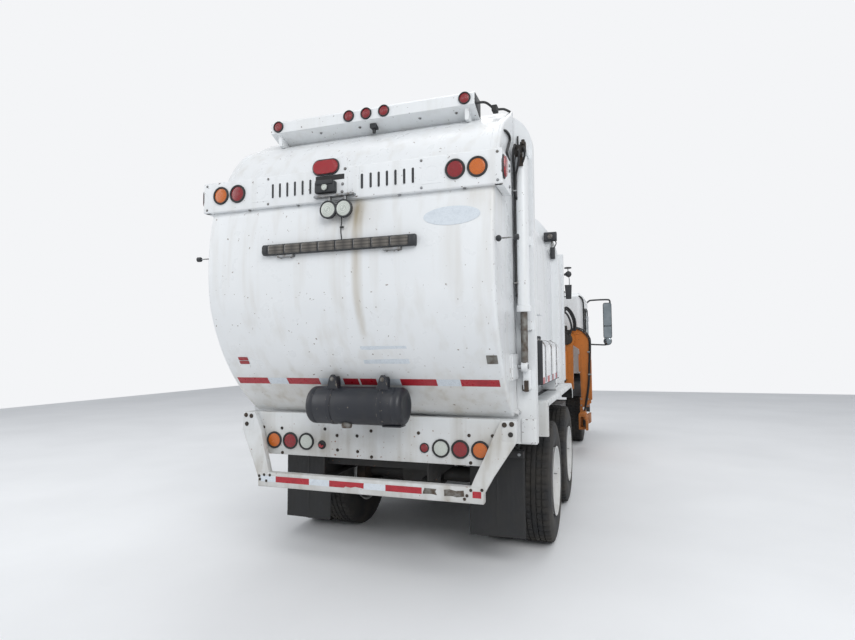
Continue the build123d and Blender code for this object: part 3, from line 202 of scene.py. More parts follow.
# Parts drawn for the right side, on the side that is asked for.
def onSide(parts, side):
    return parts if side > 0 else [mirrorPart(part) for part in parts]


# The parts together with their mirror images.
def bothSides(parts):
    return parts + onSide(parts, -1)


# Hexagon heads on washers, standing off a face along an axis: way is 1 or -1.
def boltParts(centres, axis, way, radius=9.0, slot=0):
    heights = ((0, 1.6), (0.22, 1.55)), ((0, 1.1), (0.85, 1.1), (1, 0.9))
    shapes = [plugPart([(way * h * radius, r * radius) for h, r in line], axis, (0, 0, 0), count, slot)
              for line, count in zip(heights, (14, 6))]
    return [copyPart(part, centres) for part in shapes]


# A ring of bolts round an axis through centre.
def boltRing(centre, axis, way, radius, slot, place, count, start=0.0):
    angles = np.arange(count) * 2 * pi / count + start
    return [turnPart(part, axis, centre, angles) for part in boltParts([place], axis, way, radius, slot)]


# A hose's fitting along Y: a hexagon, a neck and a second hexagon, in steps of (along, radius).
def fittingPart(place, steps, slot):
    return plugPart([(-along, radius) for along, radius in steps], "y", place, 6, slot)


# A tube closed round an outline that lies square to an axis, for seals, lips and rolled edges.
def lipPart(outline, axis, at, radius, slot=0):
    outline = np.asarray(outline, float)
    normal = unit(np.roll(outline, -1, 0) - np.roll(outline, 1, 0))[:, ::-1] * (1, -1)
    angle = np.arange(8) * pi / 4
    rows = outline[:, None] + radius * np.cos(angle)[:, None] * normal[:, None]
    depth = np.broadcast_to((at + radius * np.sin(angle))[None, :, None], rows.shape[:2] + (1,))
    return gridPart(np.concatenate([depth, rows], -1)[..., axisOrder[axis]], slot, wrapRows=True)


# Round lamp facing along an axis: a rubber ring, then a domed lens with five faint ripples.
def lampParts(axis, centre, radius, way, lensSlot, ringSlot, rise=12.0):
    ringLine = np.array([(0, 1), (0.75, 0.99), (1, 0.92), (0.9, 0.81), (0.5, 0.78), (0, 0.78)])
    lensRadius = 0.79 * radius
    s = np.linspace(1, 0, 16)
    dome = np.stack([rise * (0.45 + 0.4 * (1 - s**2)) + 0.5 * np.cos(10 * pi * s), lensRadius * s], -1)
    dome = np.concatenate([[(0, lensRadius)], dome]) * (way, 1)
    return [lathePart(ringLine * (way * rise, radius), axis, centre, 36, ringSlot),
            lathePart(dome, axis, centre, 36, lensSlot)]


# Puts parts together as one object at the origin, its points in metres in the frame.
def addPiece(name, parts, materials, body, stands=(), sharp=35, wall=0.0):
    starts = np.cumsum([0] + [len(part["points"]) for part in parts])
    points = np.concatenate([part["points"] for part in parts]) + (0, rearAxleY, 0)
    groups = [(f + start, uv, part["slot"]) for part, start in zip(parts, starts) for f, uv in part["faces"]]
    totals = np.concatenate([np.full(len(f), f.shape[1]) for f, uv, s in groups])
    loops = np.concatenate([f.ravel() for f, uv, s in groups])
    mesh = bpy.data.meshes.new(name)
    mesh.vertices.add(len(points))
    mesh.vertices.foreach_set("co", (points * toMetres).ravel())
    mesh.loops.add(len(loops))
    mesh.loops.foreach_set("vertex_index", loops.astype(np.int32))
    mesh.polygons.add(len(totals))
    mesh.polygons.foreach_set("loop_start", (np.cumsum(totals) - totals).astype(np.int32))
    mesh.polygons.foreach_set("material_index", np.concatenate([np.full(len(f), s) for f, uv, s in groups]))
    layer = mesh.uv_layers.new(name="UVMap").data
    layer.foreach_set("uv", np.concatenate([uv.ravel() for f, uv, s in groups]))
    wear = np.concatenate([part["wear"] for part in parts])
    mesh.attributes.new("wear", "FLOAT", "POINT").data.foreach_set("value", wear)
    mesh.update(calc_edges=True)
    joined = bmesh.new()
    joined.from_mesh(mesh)
    bmesh.ops.remove_doubles(joined, verts=joined.verts, dist=mergeDistance)
    bmesh.ops.recalc_face_normals(joined, faces=joined.faces)
    joined.to_mesh(mesh)
    joined.free()
    mesh.polygons.foreach_set("use_smooth", np.ones(len(mesh.polygons), bool))
    mesh.set_sharp_from_angle(angle=radians(sharp))
    for material in materials:
        mesh.materials.append(material)
    piece = bpy.data.objects.new(name, mesh)
    bpy.context.scene.collection.objects.link(piece)
    if wall:
        sheet = piece.modifiers.new("wall", "SOLIDIFY")
        sheet.thickness = wall * toMetres
        sheet.offset = -1.0
    if stands:
        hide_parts(*stands)
    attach(piece, body)
    return piece


# An sRGB hex value as the linear colour that the shaders use.
def hexColour(text):
    raw = np.array([int(text[i:i + 2], 16) for i in (1, 3, 5)]) / 255
    return (*np.where(raw <= 0.04045, raw / 12.92, ((raw + 0.055) / 1.055) ** 2.4).tolist(), 1.0)


# Gives a node's sockets their values, hex values as colours, or links them to other nodes' outputs.
def setInputs(tree, node, inputs):
    for key, value in inputs.items():
        if isinstance(value, bpy.types.NodeSocket):
            tree.links.new(value, node.inputs[key])
        else:
            node.inputs[key].default_value = hexColour(value) if isinstance(value, str) else value


# Adds one node with its inputs and settings, and gives back the output that is asked for.
def addNode(tree, kind, inputs, output=0, **settings):
    node = tree.nodes.new("ShaderNode" + kind)
    for key, value in settings.items():
        setattr(node, key, value)
    setInputs(tree, node, inputs)
    return node.outputs[output]


# A new material with its tree, and the Object or UV coordinates that its nodes start from.
def startMaterial(name, space="Object"):
    material = bpy.data.materials.new(name)
    material.use_nodes = True
    tree = material.node_tree
    return material, tree, addNode(tree, "TexCoord", {}, space)


# Gives the material's shader its values and links.
def endMaterial(material, inputs):
    setInputs(material.node_tree, material.node_tree.nodes["Principled BSDF"], inputs)
    return material


# Sprayed enamel on sheet steel: an even, slightly wavy gloss coat. Road dust settles below dustTop and
# in the stains, rain draws it into runs, stone chips and rubbed edges show the primer.
def enamel(name, look):
    material, tree, place = startMaterial(name)
    cloud = addNode(tree, "TexNoise", {"Vector": place, "Scale": 1.3, "Detail": 4.0})
    coat = addNode(tree, "Mix", {0: cloud, 6: look["colour"], 7: look["shade"]}, 2, data_type="RGBA")
    tall = addNode(tree, "Mapping", {"Vector": place, "Scale": (11.0, 11.0, 0.7)})
    runs = addNode(tree, "TexNoise", {"Vector": tall, "Scale": 1.0, "Detail": 3.0})
    runMask = addNode(tree, "MapRange", {0: runs, 1: 0.5, 2: 0.78, 4: look["runs"]})
    height = addNode(tree, "SeparateXYZ", {0: place}, 2)
    low = addNode(tree, "MapRange", {0: height, 1: look["dustTop"], 2: 0.5, 4: look["dust"]})
    mottle = addNode(tree, "TexNoise", {"Vector": place, "Scale": 7.0, "Detail": 8.0})
    dust = addNode(tree, "Math", {0: low, 1: mottle}, operation="MULTIPLY")
    dirt = addNode(tree, "Math", {0: dust, 1: runMask}, operation="ADD")
    for *middle, spanX, spanY, spanZ, amount in look.get("stains", ()):
        spans = np.array([spanX, spanY, spanZ])
        centred = {"Vector": place, "Scale": 1 / spans, "Location": -np.array(middle) / spans}
        spot = addNode(tree, "Mapping", centred)
        ball = addNode(tree, "TexGradient", {"Vector": spot}, 1, gradient_type="SPHERICAL")
        stain = addNode(tree, "Math", {0: ball, 1: runs}, operation="MULTIPLY")
        dirt = addNode(tree, "Math", {0: stain, 1: amount, 2: dirt}, operation="MULTIPLY_ADD")
    dirt = addNode(tree, "Math", {0: dirt, 1: 0.9}, operation="MINIMUM")
    dusty = addNode(tree, "Mix", {0: dirt, 6: coat, 7: look["grime"]}, 2, data_type="RGBA")
    grit = addNode(tree, "TexNoise", {"Vector": place, "Scale": 42.0, "Detail": 3.0})
    edges = addNode(tree, "Attribute", {}, "Fac", attribute_name="wear")
    bare = addNode(tree, "Math", {0: edges, 1: look["wear"], 2: grit}, operation="MULTIPLY_ADD")
    chips = addNode(tree, "MapRange", {0: bare, 1: 0.70, 2: 0.73, 4: 0.85})
    final = addNode(tree, "Mix", {0: chips, 6: dusty, 7: look["chip"]}, 2, data_type="RGBA")
    gloss = look["gloss"]
    sheen = addNode(tree, "MapRange", {0: mottle, 1: 0.3, 2: 0.7, 3: gloss, 4: gloss + 0.14})
    rough = addNode(tree, "Math", {0: dirt, 1: 0.4, 2: sheen}, operation="MULTIPLY_ADD")
    waviness = {"Strength": 0.35, "Distance": look.get("wave", 0.012), "Height": cloud}
    wave = addNode(tree, "Bump", waviness)
    peel = addNode(tree, "TexNoise", {"Vector": place, "Scale": 220.0, "Detail": 1.0})
    skin = addNode(tree, "Bump", {"Strength": 0.1, "Distance": 0.0003, "Height": peel, "Normal": wave})
    return endMaterial(material, {"Base Color": final, "Roughness": rough, "Normal": skin})


# A plain finish with two tones in clouds, a spread of roughness, and a grain whose size is in
# millimetres. Where edges are rubbed, the bare tone shows.
def twoTone(name, look):
    material, tree, place = startMaterial(name)
    cloud = addNode(tree, "TexNoise", {"Vector": place, "Scale": look.get("cloud", 9.0), "Detail": 6.0})
    mask = addNode(tree, "MapRange", {0: cloud, 1: 0.38, 2: 0.66})
    tone = addNode(tree, "Mix", {0: mask, 6: look["colour"], 7: look["shade"]}, 2, data_type="RGBA")
    edges = addNode(tree, "Attribute", {}, "Fac", attribute_name="wear")
    rub = addNode(tree, "Math", {0: edges, 1: cloud}, operation="MULTIPLY")
    rubbed = addNode(tree, "MapRange", {0: rub, 1: 0.42, 2: 0.62, 4: look.get("rub", 0.5)})
    bare = look.get("bare", look["shade"])
    final = addNode(tree, "Mix", {0: rubbed, 6: tone, 7: bare}, 2, data_type="RGBA")
    smooth, dull = look["rough"]
    spread = addNode(tree, "MapRange", {0: cloud, 1: 0.3, 2: 0.7, 3: smooth, 4: dull})
    size = look["grain"]
    grain = addNode(tree, "TexNoise", {"Vector": place, "Scale": 1000.0 / size, "Detail": 2.0})
    relief = {"Strength": look.get("relief", 0.25), "Distance": size * 0.0002, "Height": grain}
    skin = addNode(tree, "Bump", relief)
    return endMaterial(material, {"Metallic": look.get("metallic", 0.0), "Base Color": final,
                                  "Roughness": spread, "Normal": skin})


# Moulded acrylic lens: deep clear colour, fine rings and spokes of prisms pressed inside, a smooth skin.
def lens(name, bright, deep):
    material, tree, place = startMaterial(name, "UV")
    flat = addNode(tree, "Mapping", {"Vector": place, "Scale": (7.0, 30.0, 1.0)})
    cells = addNode(tree, "TexVoronoi", {"Vector": flat, "Scale": 1.0, "Randomness": 0.0}, "Distance")
    mask = addNode(tree, "MapRange", {0: cells, 1: 0.1, 2: 0.6})
    tone = addNode(tree, "Mix", {0: mask, 6: bright, 7: deep}, 2, data_type="RGBA")
    relief = addNode(tree, "Bump", {"Strength": 0.4, "Distance": 0.0015, "Height": cells})
    return endMaterial(material, {"Roughness": 0.16, "Coat Weight": 0.3, "Coat Roughness": 0.08,
                                  "Base Color": tone, "Normal": relief})


# Reflective tape: small six-sided prism cells of 4 mm under a clear film, scuffed and dusty.
def tape(name, bright, deep):
    material, tree, place = startMaterial(name)
    cells = addNode(tree, "TexVoronoi", {"Vector": place, "Scale": 240.0}, feature="DISTANCE_TO_EDGE")
    mesh = addNode(tree, "MapRange", {0: cells, 1: 0.02, 2: 0.12, 3: 0.75, 4: 0.0})
    scuff = addNode(tree, "TexNoise", {"Vector": place, "Scale": 23.0, "Detail": 6.0})
    worn = addNode(tree, "MapRange", {0: scuff, 1: 0.5, 2: 0.75, 4: 0.6})
    dark = addNode(tree, "Math", {0: mesh, 1: worn}, operation="MAXIMUM")
    tone = addNode(tree, "Mix", {0: dark, 6: bright, 7: deep}, 2, data_type="RGBA")
    rough = addNode(tree, "MapRange", {0: scuff, 1: 0.3, 2: 0.7, 3: 0.22, 4: 0.5})
    return endMaterial(material, {"Base Color": tone, "Roughness": rough})


# Float glass: clear with a faint green body and a film of dust.
def glazing(name, colour):
    material, tree, place = startMaterial(name)
    film = addNode(tree, "TexNoise", {"Vector": place, "Scale": 5.0, "Detail": 5.0})
    rough = addNode(tree, "MapRange", {0: film, 1: 0.4, 2: 0.8, 3: 0.02, 4: 0.14})
    return endMaterial(material, {"IOR": 1.5, "Transmission Weight": 1.0, "Base Color": colour,
                                  "Roughness": rough})


# Woven seat cloth: thread waves along the three axes, 3 mm apart, coarser than the real 1 mm so that
# they show.
def wovenCloth(name, colour, shade):
    material, tree, place = startMaterial(name)
    thread = {"Vector": place, "Scale": 100.0, "Distortion": 0.6}
    waves = [addNode(tree, "TexWave", thread, 1, bands_direction=way) for way in ("X", "Y", "Z")]
    cross = addNode(tree, "Math", {0: waves[0], 1: waves[1]}, operation="MULTIPLY")
    weave = addNode(tree, "Math", {0: cross, 1: waves[2]}, operation="ADD")
    tone = addNode(tree, "Mix", {0: weave, 6: shade, 7: colour}, 2, data_type="RGBA")
    relief = addNode(tree, "Bump", {"Strength": 0.5, "Distance": 0.001, "Height": weave})
    return endMaterial(material, {"Roughness": 0.9, "Sheen Weight": 0.3, "Base Color": tone,
                                  "Normal": relief})


# Stains are (x, y, z, spread in x, y and z, amount) in metres in the frame.
gateStains = (
    (0.14, -4.39, 2.30, 0.05, 0.5, 0.75, 1.1), (0.13, -4.39, 2.62, 0.22, 0.4, 0.22, 0.8),
    (-0.45, -4.15, 1.30, 0.9, 0.6, 0.28, 0.9), (0.65, -4.15, 1.32, 0.5, 0.6, 0.25, 0.7),
    (0.95, -4.35, 2.66, 0.16, 0.4, 0.20, 0.5),
)
panelStains = ((0.9, -3.9, 1.05, 0.22, 0.4, 0.2, 0.9), (-0.5, -3.9, 0.98, 0.5, 0.4, 0.14, 0.7))

# Body enamel: bright white that greys with dust low down.
whitePaint = enamel("whiteEnamel", {
    "colour": "#E6E8E9", "shade": "#DADDDF", "grime": "#A39C8D", "chip": "#5A4A40",
    "runs": 0.19, "dust": 0.75, "dustTop": 1.5, "wear": 0.11, "gloss": 0.26,
})

# Tailgate enamel: the same white on wavier sheet, stained under the lamps and along the foot.
gatePaint = enamel("gateEnamel", {
    "colour": "#E4E6E7", "shade": "#D7DADC", "grime": "#A0937A", "chip": "#6A5546",
    "runs": 0.22, "dust": 0.55, "dustTop": 1.7, "wear": 0.14, "gloss": 0.24, "wave": 0.02,
    "stains": gateStains,
})

# Guard and tail panel enamel: the most road dirt, and chips as brown as rust.
guardPaint = enamel("guardEnamel", {
    "colour": "#E2E5E7", "shade": "#D0D4D6", "grime": "#8E8472", "chip": "#7A4B2E",
    "runs": 0.34, "dust": 0.85, "dustTop": 1.5, "wear": 0.05, "gloss": 0.3, "stains": panelStains,
})

# Cab enamel: the glossiest white, nearly flat.
cabPaint = enamel("cabEnamel", {
    "colour": "#E8EAEB", "shade": "#DDE0E2", "grime": "#9F988B", "chip": "#4F4B48",
    "runs": 0.14, "dust": 0.7, "dustTop": 1.7, "wear": 0.1, "gloss": 0.2, "wave": 0.006,
})

# Arm enamel: orange and rubbed dark at its edges; dirty all over, its heavy dirt partly painted shade.
armPaintAndShade = enamel("armEnamelAndShade", {
    "colour": "#D07A22", "shade": "#B9681C", "grime": "#4A3A28", "chip": "#3B322C",
    "runs": 0.4, "dust": 0.8, "dustTop": 2.1, "wear": 0.26, "gloss": 0.34,
})

# Chassis enamel: the dullest coat, in its own near black, darkened further as painted shade under the truck.
chassisPaintAndShade = enamel("chassisEnamelAndShade", {
    "colour": "#1D1F23", "shade": "#16181A", "grime": "#413C35", "chip": "#6E4A34",
    "runs": 0.3, "dust": 0.6, "dustTop": 1.3, "wear": 0.14, "gloss": 0.42,
})

# Canister enamel: blue-black with little dust and pale chips.
navyPaint = enamel("canisterEnamel", {
    "colour": "#191D26", "shade": "#14171E", "grime": "#403D39", "chip": "#6C655B",
    "runs": 0.28, "dust": 0.25, "dustTop": 1.6, "wear": 0.12, "gloss": 0.34,
})

# Rim enamel: white on smooth pressed steel, dusty.
rimPaint = enamel("rimEnamel", {
    "colour": "#E3E5E6", "shade": "#D2D4D5", "grime": "#8F8573", "chip": "#6B5546",
    "runs": 0.2, "dust": 0.55, "dustTop": 1.4, "wear": 0.1, "gloss": 0.3, "wave": 0.004,
})

# Moulded rubber: soft black without shine.
rubber = twoTone("mouldedRubber", {
    "colour": "#1B1C1E", "shade": "#2B2B2B", "rough": (0.6, 0.85), "grain": 3.0,
})

# Tread rubber: matt, with brown dust in clouds and on its edges.
tread = twoTone("treadRubber", {
    "colour": "#1A1B1D", "shade": "#3A3733", "rough": (0.75, 0.95), "grain": 5.0, "cloud": 6.0,
    "bare": "#4A463F", "rub": 0.6,
})

# Hose rubber: smoother and darker, with a dim sheen.
hose = twoTone("hoseRubber", {
    "colour": "#141517", "shade": "#232324", "rough": (0.42, 0.7), "grain": 2.5,
})

# Moulded plastic: dark grey with an even, low sheen.
plastic = twoTone("mouldedPlastic", {
    "colour": "#222427", "shade": "#2C2E31", "rough": (0.45, 0.62), "grain": 2.0,
})

# Zinc-plated steel: silver grey with small dull spots.
steel = twoTone("zincPlatedSteel", {
    "colour": "#9A9DA0", "shade": "#6F6B66", "metallic": 0.9, "rough": (0.3, 0.55), "grain": 4.0,
    "cloud": 30.0,
})

# Worn steel: grey metal with patches of brown film; on the lift rods it is a painted reflection on chrome.
wornSteelAndPaintedReflection = twoTone("wornSteelAndPaintedReflection", {
    "colour": "#7B7A76", "shade": "#53483F", "metallic": 0.5, "rough": (0.45, 0.75), "grain": 6.0,
    "cloud": 24.0,
})

# Chromed steel: bright with sharp reflections.
chrome = twoTone("chromedSteel", {
    "colour": "#D6D8DA", "shade": "#B9BBBD", "metallic": 1.0, "rough": (0.08, 0.2), "grain": 2.0,
    "relief": 0.05,
})

# Polished aluminium: bright with softer, cloudy reflections.
aluminium = twoTone("polishedAluminium", {
    "colour": "#DCDFE2", "shade": "#C6CACE", "metallic": 1.0, "rough": (0.12, 0.26), "grain": 3.0,
    "cloud": 5.0, "relief": 0.03,
})

# Cast iron: dark brown, dull and coarse.
castIron = twoTone("castIron", {
    "colour": "#2E2C2A", "shade": "#4B3F35", "metallic": 0.3, "rough": (0.6, 0.85), "grain": 7.0,
    "relief": 0.5,
})

# Silvered glass: a clear reflection, a little grey.
mirrorGlass = twoTone("silveredGlass", {
    "colour": "#868E93", "shade": "#788186", "metallic": 1.0, "rough": (0.02, 0.06), "grain": 2.0,
    "relief": 0.02,
})

# Pale concrete: an even, matt floor.
concrete = twoTone("paleConcrete", {
    "colour": "#F1F2F3", "shade": "#ECEDEE", "rough": (0.85, 0.95), "grain": 1.0, "cloud": 0.6,
    "relief": 0.0,
})

redLens = lens("redLens", "#A91823", "#4A070D")
amberLens = lens("amberLens", "#E07A26", "#9A4410")
clearLens = lens("clearLens", "#D9DDD6", "#9DA39C")
smoked = lens("smokedLens", "#6B665F", "#35322F")
redTape = tape("redTape", "#B02431", "#6E1820")
paleTape = tape("paleTape", "#D5DCE2", "#AFB7BF")
glass = glazing("floatGlass", "#DCE8E4")
cloth = wovenCloth("seatCloth", "#4B4F55", "#2A2C30")
print("materials made")

# Tailgate: its side outline from the top edge down to the foot, as (Y, Z).
gate = {"frontY": -1060.0, "halfWidth": 1060.0, "edge": 20.0, "wall": 28.0, "dent": 16.0}
frontY = gate["frontY"]
gateLine = np.concatenate([
    np.linspace((frontY, 3455), (-1400, 3255), 7)[:-1],
    arcThrough((-1400, 3255), (-1521, 3134), (-1610, 3000), 9)[:-1],
    np.linspace((-1610, 3000), (-1765, 2691), 7)[:-1],
    arcThrough((-1765, 2691), (-1815, 2301), (-1790, 2001), 15)[:-1],
    arcThrough((-1790, 2001), (-1590, 1580), (-1205, 1210), 19)[:-1],
    np.linspace((-1205, 1210), (frontY, 1210), 4),
])


# Where the tailgate's rear face is at a height.
def gateY(z):
    return np.interp(z, gateLine[::-1, 1], gateLine[::-1, 0])


# Moves a part that was drawn on the plane Y = 0 back onto the tailgate's curved face.
def onGate(part):
    points = part["points"].copy()
    points[:, 1] += gateY(points[:, 2])
    return {**part, "points": points}


# A thin plate on the tailgate's face, from its outline in X and Z.
def gatePlate(outline, proud, edge, slot):
    return onGate(slabPart(outline, "y", -proud, 1, edge, slot))


# A sheet that lies on the tailgate's face: heights z, places x, and how far each place stands off.
def gateSheet(x, z, lift, slot=0):
    x, z = np.array(x, float)[None], np.array(z, float)[:, None]
    return gridPart(np.stack(np.broadcast_arrays(x, gateY(z) - np.array(lift), z), -1), slot)


# Shell: the outline carried across the width; at each side it turns a round corner and runs forward
# at an even height to the mouth. On the right side two shallow knocks push the sheet in.
along = unit(np.gradient(gateLine, axis=0))
outward = np.stack([along[:, 1], -along[:, 0]], -1)
half, edge = gate["halfWidth"], gate["edge"]
bend = np.linspace(0, pi / 2, 5)
share = np.array([0.04, 0.15, 0.3, 0.5, 0.7, 0.85, 1.0])
flatX = np.linspace(0, half - edge, 6)[:-1]
acrossX = np.concatenate([flatX, half - edge + edge * np.sin(bend), 0 * share + half])
inset = np.concatenate([0 * flatX, edge * (1 - np.cos(bend)), 0 * share + edge])
forward = np.concatenate([0 * flatX, 0 * bend, share])
acrossX = np.concatenate([-acrossX[:0:-1], acrossX])
inset, forward = [np.concatenate([a[:0:-1], a]) for a in (inset, forward)]
shellY = gateLine[:, :1] - outward[:, :1] * inset
shellZ = gateLine[:, 1:] - outward[:, 1:] * inset
shellY = np.minimum(shellY + (frontY - shellY) * forward, frontY)
knock = np.exp(-((shellZ - 2190) / 170) ** 2) + 0.6 * np.exp(-((shellZ - 1800) / 110) ** 2)
knock = knock * np.sin(pi * np.clip(forward * 1.25, 0, 1)) * (acrossX > 0)
shell = gridPart(np.stack([acrossX - gate["dent"] * knock, shellY, shellZ], -1), wrap=False, caps=False)
addPiece("gateShell", [shell], [gatePaint], "tailgate", ("tailgate",), wall=gate["wall"])

# Mouth of the tailgate: a folded flange with a rubber seal, hinge lugs and the plates for the rods.
flange, seal = (frontY - 24, frontY - 2), (frontY - 6, frontY + 4)
mouth = boxParts(
    ((-1056, 1056), flange, (1214, 1300), 3, 3),
    ((-1056, 1056), flange, (3350, 3430), 3, 3),
    ((-1000, 1000), seal, (1236, 1262), 4, 8, 1),
)
mouth += bothSides(boxParts(
    ((970, 1056), flange, (1214, 3430), 3, 3),
    ((1006, 1032), seal, (1236, 3390), 4, 8, 1),
    ((1058, 1079), (-1330, -1086), (1470, 1650), 4, 20),
))
lug = [(-1012, 3458), (-990, 3470), (-986, 3484), (-1000, 3498), (-1120, 3478), (-1160, 3396), (-1064, 3430)]
for station in (-620, 0, 620):
    mouth += [slabPart(lug, "x", station - 19, station + 19, 2),
              plugPart([(-21, 22), (21, 22)], "x", (station, -1000, 3478), 24)]
addPiece("gateMouth", mouth, [gatePaint, rubber], "tailgate")

# Stiffening strips up both sides of the sloping top, and blank plates on the face.
strips = bothSides([gateSheet((1000, 1004, 1040, 1044), np.linspace(2935, 3330, 16), (0, 5, 5, 0))])
angle = np.linspace(0, 2 * pi, 48, endpoint=False)
oval = np.stack([790 + 186 * np.cos(angle), 2527 + 62 * np.sin(angle)], -1)
strips += [gatePlate(oval, 3, 1, 1), gatePlate(roundedRect((96, 432), (1592, 1712), 4), 1.2, 0.4, 1),
           gatePlate(roundedRect((962, 1034), (1590, 1646), 4), 2.5, 1, 2)]
strips += [gatePlate(roundedRect((-926, -844), (z, z + 24), 4), 4, 1, 3) for z in (1588, 1616)]
addPiece("gateStrips", strips, [gatePaint, paleTape, wornSteelAndPaintedReflection, redLens], "tailgate")

# Tape along the belly: red lengths with pale ones between, each bent to the sheet.
gateTape = {
    "low": 1437.0, "high": 1484.0,
    "red": ((-1018, -747), (-581, -311), (-115, 4), (19, 144), (326, 589), (758, 1022)),
    "pale": ((-745, -583), (-309, -117), (146, 324), (591, 756)),
}
heights = np.linspace(gateTape["low"], gateTape["high"], 4)
strips = [gateSheet((low, low, high, high), heights, (-0.2, 1.0, 1.0, -0.2), slot)
          for slot, key in enumerate(("red", "pale")) for low, high in gateTape[key]]
addPiece("gateTape", strips, [redTape, paleTape], "tailgate")
print("tailgate made")


# An outline turned over between two heights.
def flipped(line, low, high):
    return line * (1, -1) + (0, low + high)


# Light bar across the middle: a folded channel, open at the back, with boxed ends past the tailgate.
midBar = {"half": 1115.0, "low": 2700.0, "high": 2923.0, "face": -1796.0, "wall": 6.0}
face, low, high, wall = [midBar[key] for key in ("face", "low", "high", "wall")]
fold = arcThrough((face + 9, low), (face + 2.6, low + 2.6), (face, low + 9), 4)
fold = np.concatenate([[(gateY(low), low)], fold, flipped(fold[::-1], low, high), [(gateY(high), high)]])
innerY, innerZ = np.maximum(fold[:, 0], face + wall), np.clip(fold[:, 1], low + wall, high - wall)
inner = np.stack([innerY, innerZ], -1)[::-1]
bars = [slabPart(np.concatenate([fold, inner]), "x", -midBar["half"], midBar["half"], 1.5, rim=0)]
bars += bothSides(boxParts(
    ((1064, 1109), (face + 5, -1502), (low, low + wall), 1, 2),
    ((1064, 1109), (face + 5, -1502), (high - wall, high), 1, 2),
    ((1107, 1114), (face + 4, -1500), (low, high), 2, 8),
    ((1062, 1110), (-1507, -1500), (low, high), 2, 4),
))
louvres = [(x, 0, 2810) for x in (-520, -462, -402, -341, -280, -219, 235, 293, 352, 412, 473, 533, 171)]
opening = slabPart(roundedRect((-9, 9), (-51, 51), 8), "y", face - 1.2, face + 1, 0.3, slot=1)
bars.append(copyPart(opening, louvres))
bars.append(copyPart(lipPart(roundedRect((-11, 11), (-53, 53), 10), "y", face - 0.6, 2.6), louvres[:-1]))
for x in (-628, 658):
    bars += [slabPart(roundedRect((x - 66, x + 66), (2744, 2876), 6), "y", face - 1.6, face + 1, 0.8),
             lipPart(roundedRect((x - 48, x + 48), (2762, 2858), 47, 9), "y", face - 1.4, 1.6)]
bars += boltParts([(x, face, z) for x in (-1086, -560, 590, 1086) for z in (2722, 2900)], "y", -1, 6, 2)
bars += boltParts([(x, -1775, low) for x in (-730, -330, 430, 870)], "z", -1, 8, 2)
bars += bothSides(boltParts([(1114, -1560, z) for z in (2880, 2845, 2740)], "x", 1, 8, 2))

# Light bar along the top: a box with round edges, its lower face leaning forward to the tailgate.
topLine = [(-1362, 3424), (-1362, 3502), (-1349, 3518), (-1182, 3518), (-1172, 3490), (-1172, 3360),
           (-1218, 3368)]
endLine = [(-1356, 3430), (-1356, 3500), (-1345, 3512), (-1190, 3512), (-1180, 3488), (-1180, 3380),
           (-1226, 3384)]
bars.append(slabPart(topLine, "x", -840, 840, 4, rim=0))
bars += bothSides([slabPart(endLine, "x", 839.5, 842, 1, slot=1, rim=0),
                   boxPart((760, 790), (-1330, -1200), (3330, 3420), 2, 6)])
bars += boxParts(((10, 62), (-1322, -1268), (3372, 3424), 3, 8, 1),
                 ((24, 48), (-1306, -1284), (3340, 3380), 3, 6, 1))
bars += boltParts([(x, -1300, 3401) for x in (-418, -81, 410, 690)], "z", -1, 8, 2)
addPiece("lightBars", bars, [whitePaint, plastic, steel], "tailgate", ("light_bars",))

# Lamps of the tailgate: amber outside red on the middle bar, five dark red ones above.
barLamp = {"amberX": 960, "redX": 816, "z": 2819, "radius": 66}
topLamp = {"x": (-768, -145, 0, 145, 768), "y": -1362, "z": 3472, "radius": 45}
lamps = []
for x, colour in ((barLamp["amberX"], 2), (barLamp["redX"], 1)):
    lamps += bothSides(lampParts("y", (x, face, barLamp["z"]), barLamp["radius"], -1, colour, 0))
for x in topLamp["x"]:
    lamps += lampParts("y", (x, topLamp["y"], topLamp["z"]), topLamp["radius"], -1, 1, 0)
addPiece("gateLamps", lamps, [rubber, redLens, amberLens], "tailgate", ("tailgate_lamps",))

# Side markers at the bar's ends: dark red ovals in a rubber rim.
markers = bothSides([lipPart(roundedRect((-1790, -1712), (2746, 2884), 36, 6), "x", 1116, 8),
                     slabPart(roundedRect((-1788, -1714), (2748, 2882), 34, 6), "x", 1108, 1136, 12, 1)])

# Plate in the middle of the bar: an oval stop lamp over a camera, two round work lamps under it.
plateY = face - 6
markers += [
    slabPart(roundedRect((-196, 66), (2734, 2988), 6), "y", plateY, face + 1, 1.5, 2),
    slabPart(roundedRect((100, 150), (2712, 2910), 4), "y", plateY + 2, face + 1, 1.5, 2),
    slabPart(roundedRect((-190, 0), (2884, 2980), 47, 9), "y", plateY - 16, plateY, 5, 1),
    lipPart(roundedRect((-192, 2), (2882, 2982), 49, 9), "y", plateY - 3, 7),
    slabPart(roundedRect((-174, 44), (2838, 2874), 3), "y", plateY - 1.5, plateY, 0.5, 3),
    boxPart((-160, -10), (plateY - 46, plateY), (2746, 2824), 8, 10),
    boxPart((-150, -20), (plateY - 54, plateY - 30), (2800, 2830), 5),
    boxPart((-170, 128), (plateY - 40, plateY + 4), (2716, 2730), 2, 3, 4),
]
markers += lampParts("y", (-84, plateY - 44, 2782), 28, -1, 5, 0, 8)
plateBolts = [(50, plateY, 2906), (30, plateY, 2804), (27, plateY, 2752), (88, face - 1, 2736)]
markers += boltParts(plateBolts, "y", -1, 7, 4)
workLamp = [(0, 0), (0, 30), (14, 50), (30, 60), (52, 62), (56, 58), (54, 52), (50, 50)]
workLamp = [(face - 0.98 * a, r) for a, r in workLamp]
workGlass = [(-1844, 52), (-1848, 50), (-1851 - 2 * cos(pi * 0.2), 30), (-1854, 0)]
for x in (-57, 59):
    markers += [lathePart(workLamp, "y", (x, 0, 2626), 32), lathePart(workGlass, "y", (x, 0, 2626), 32, 5),
                boxPart((x - 9, x + 9), (-1830, -1806), (2680, 2722), 3, 4, 4)]
plateFinishes = [plastic, redLens, whitePaint, rubber, steel, clearLens]
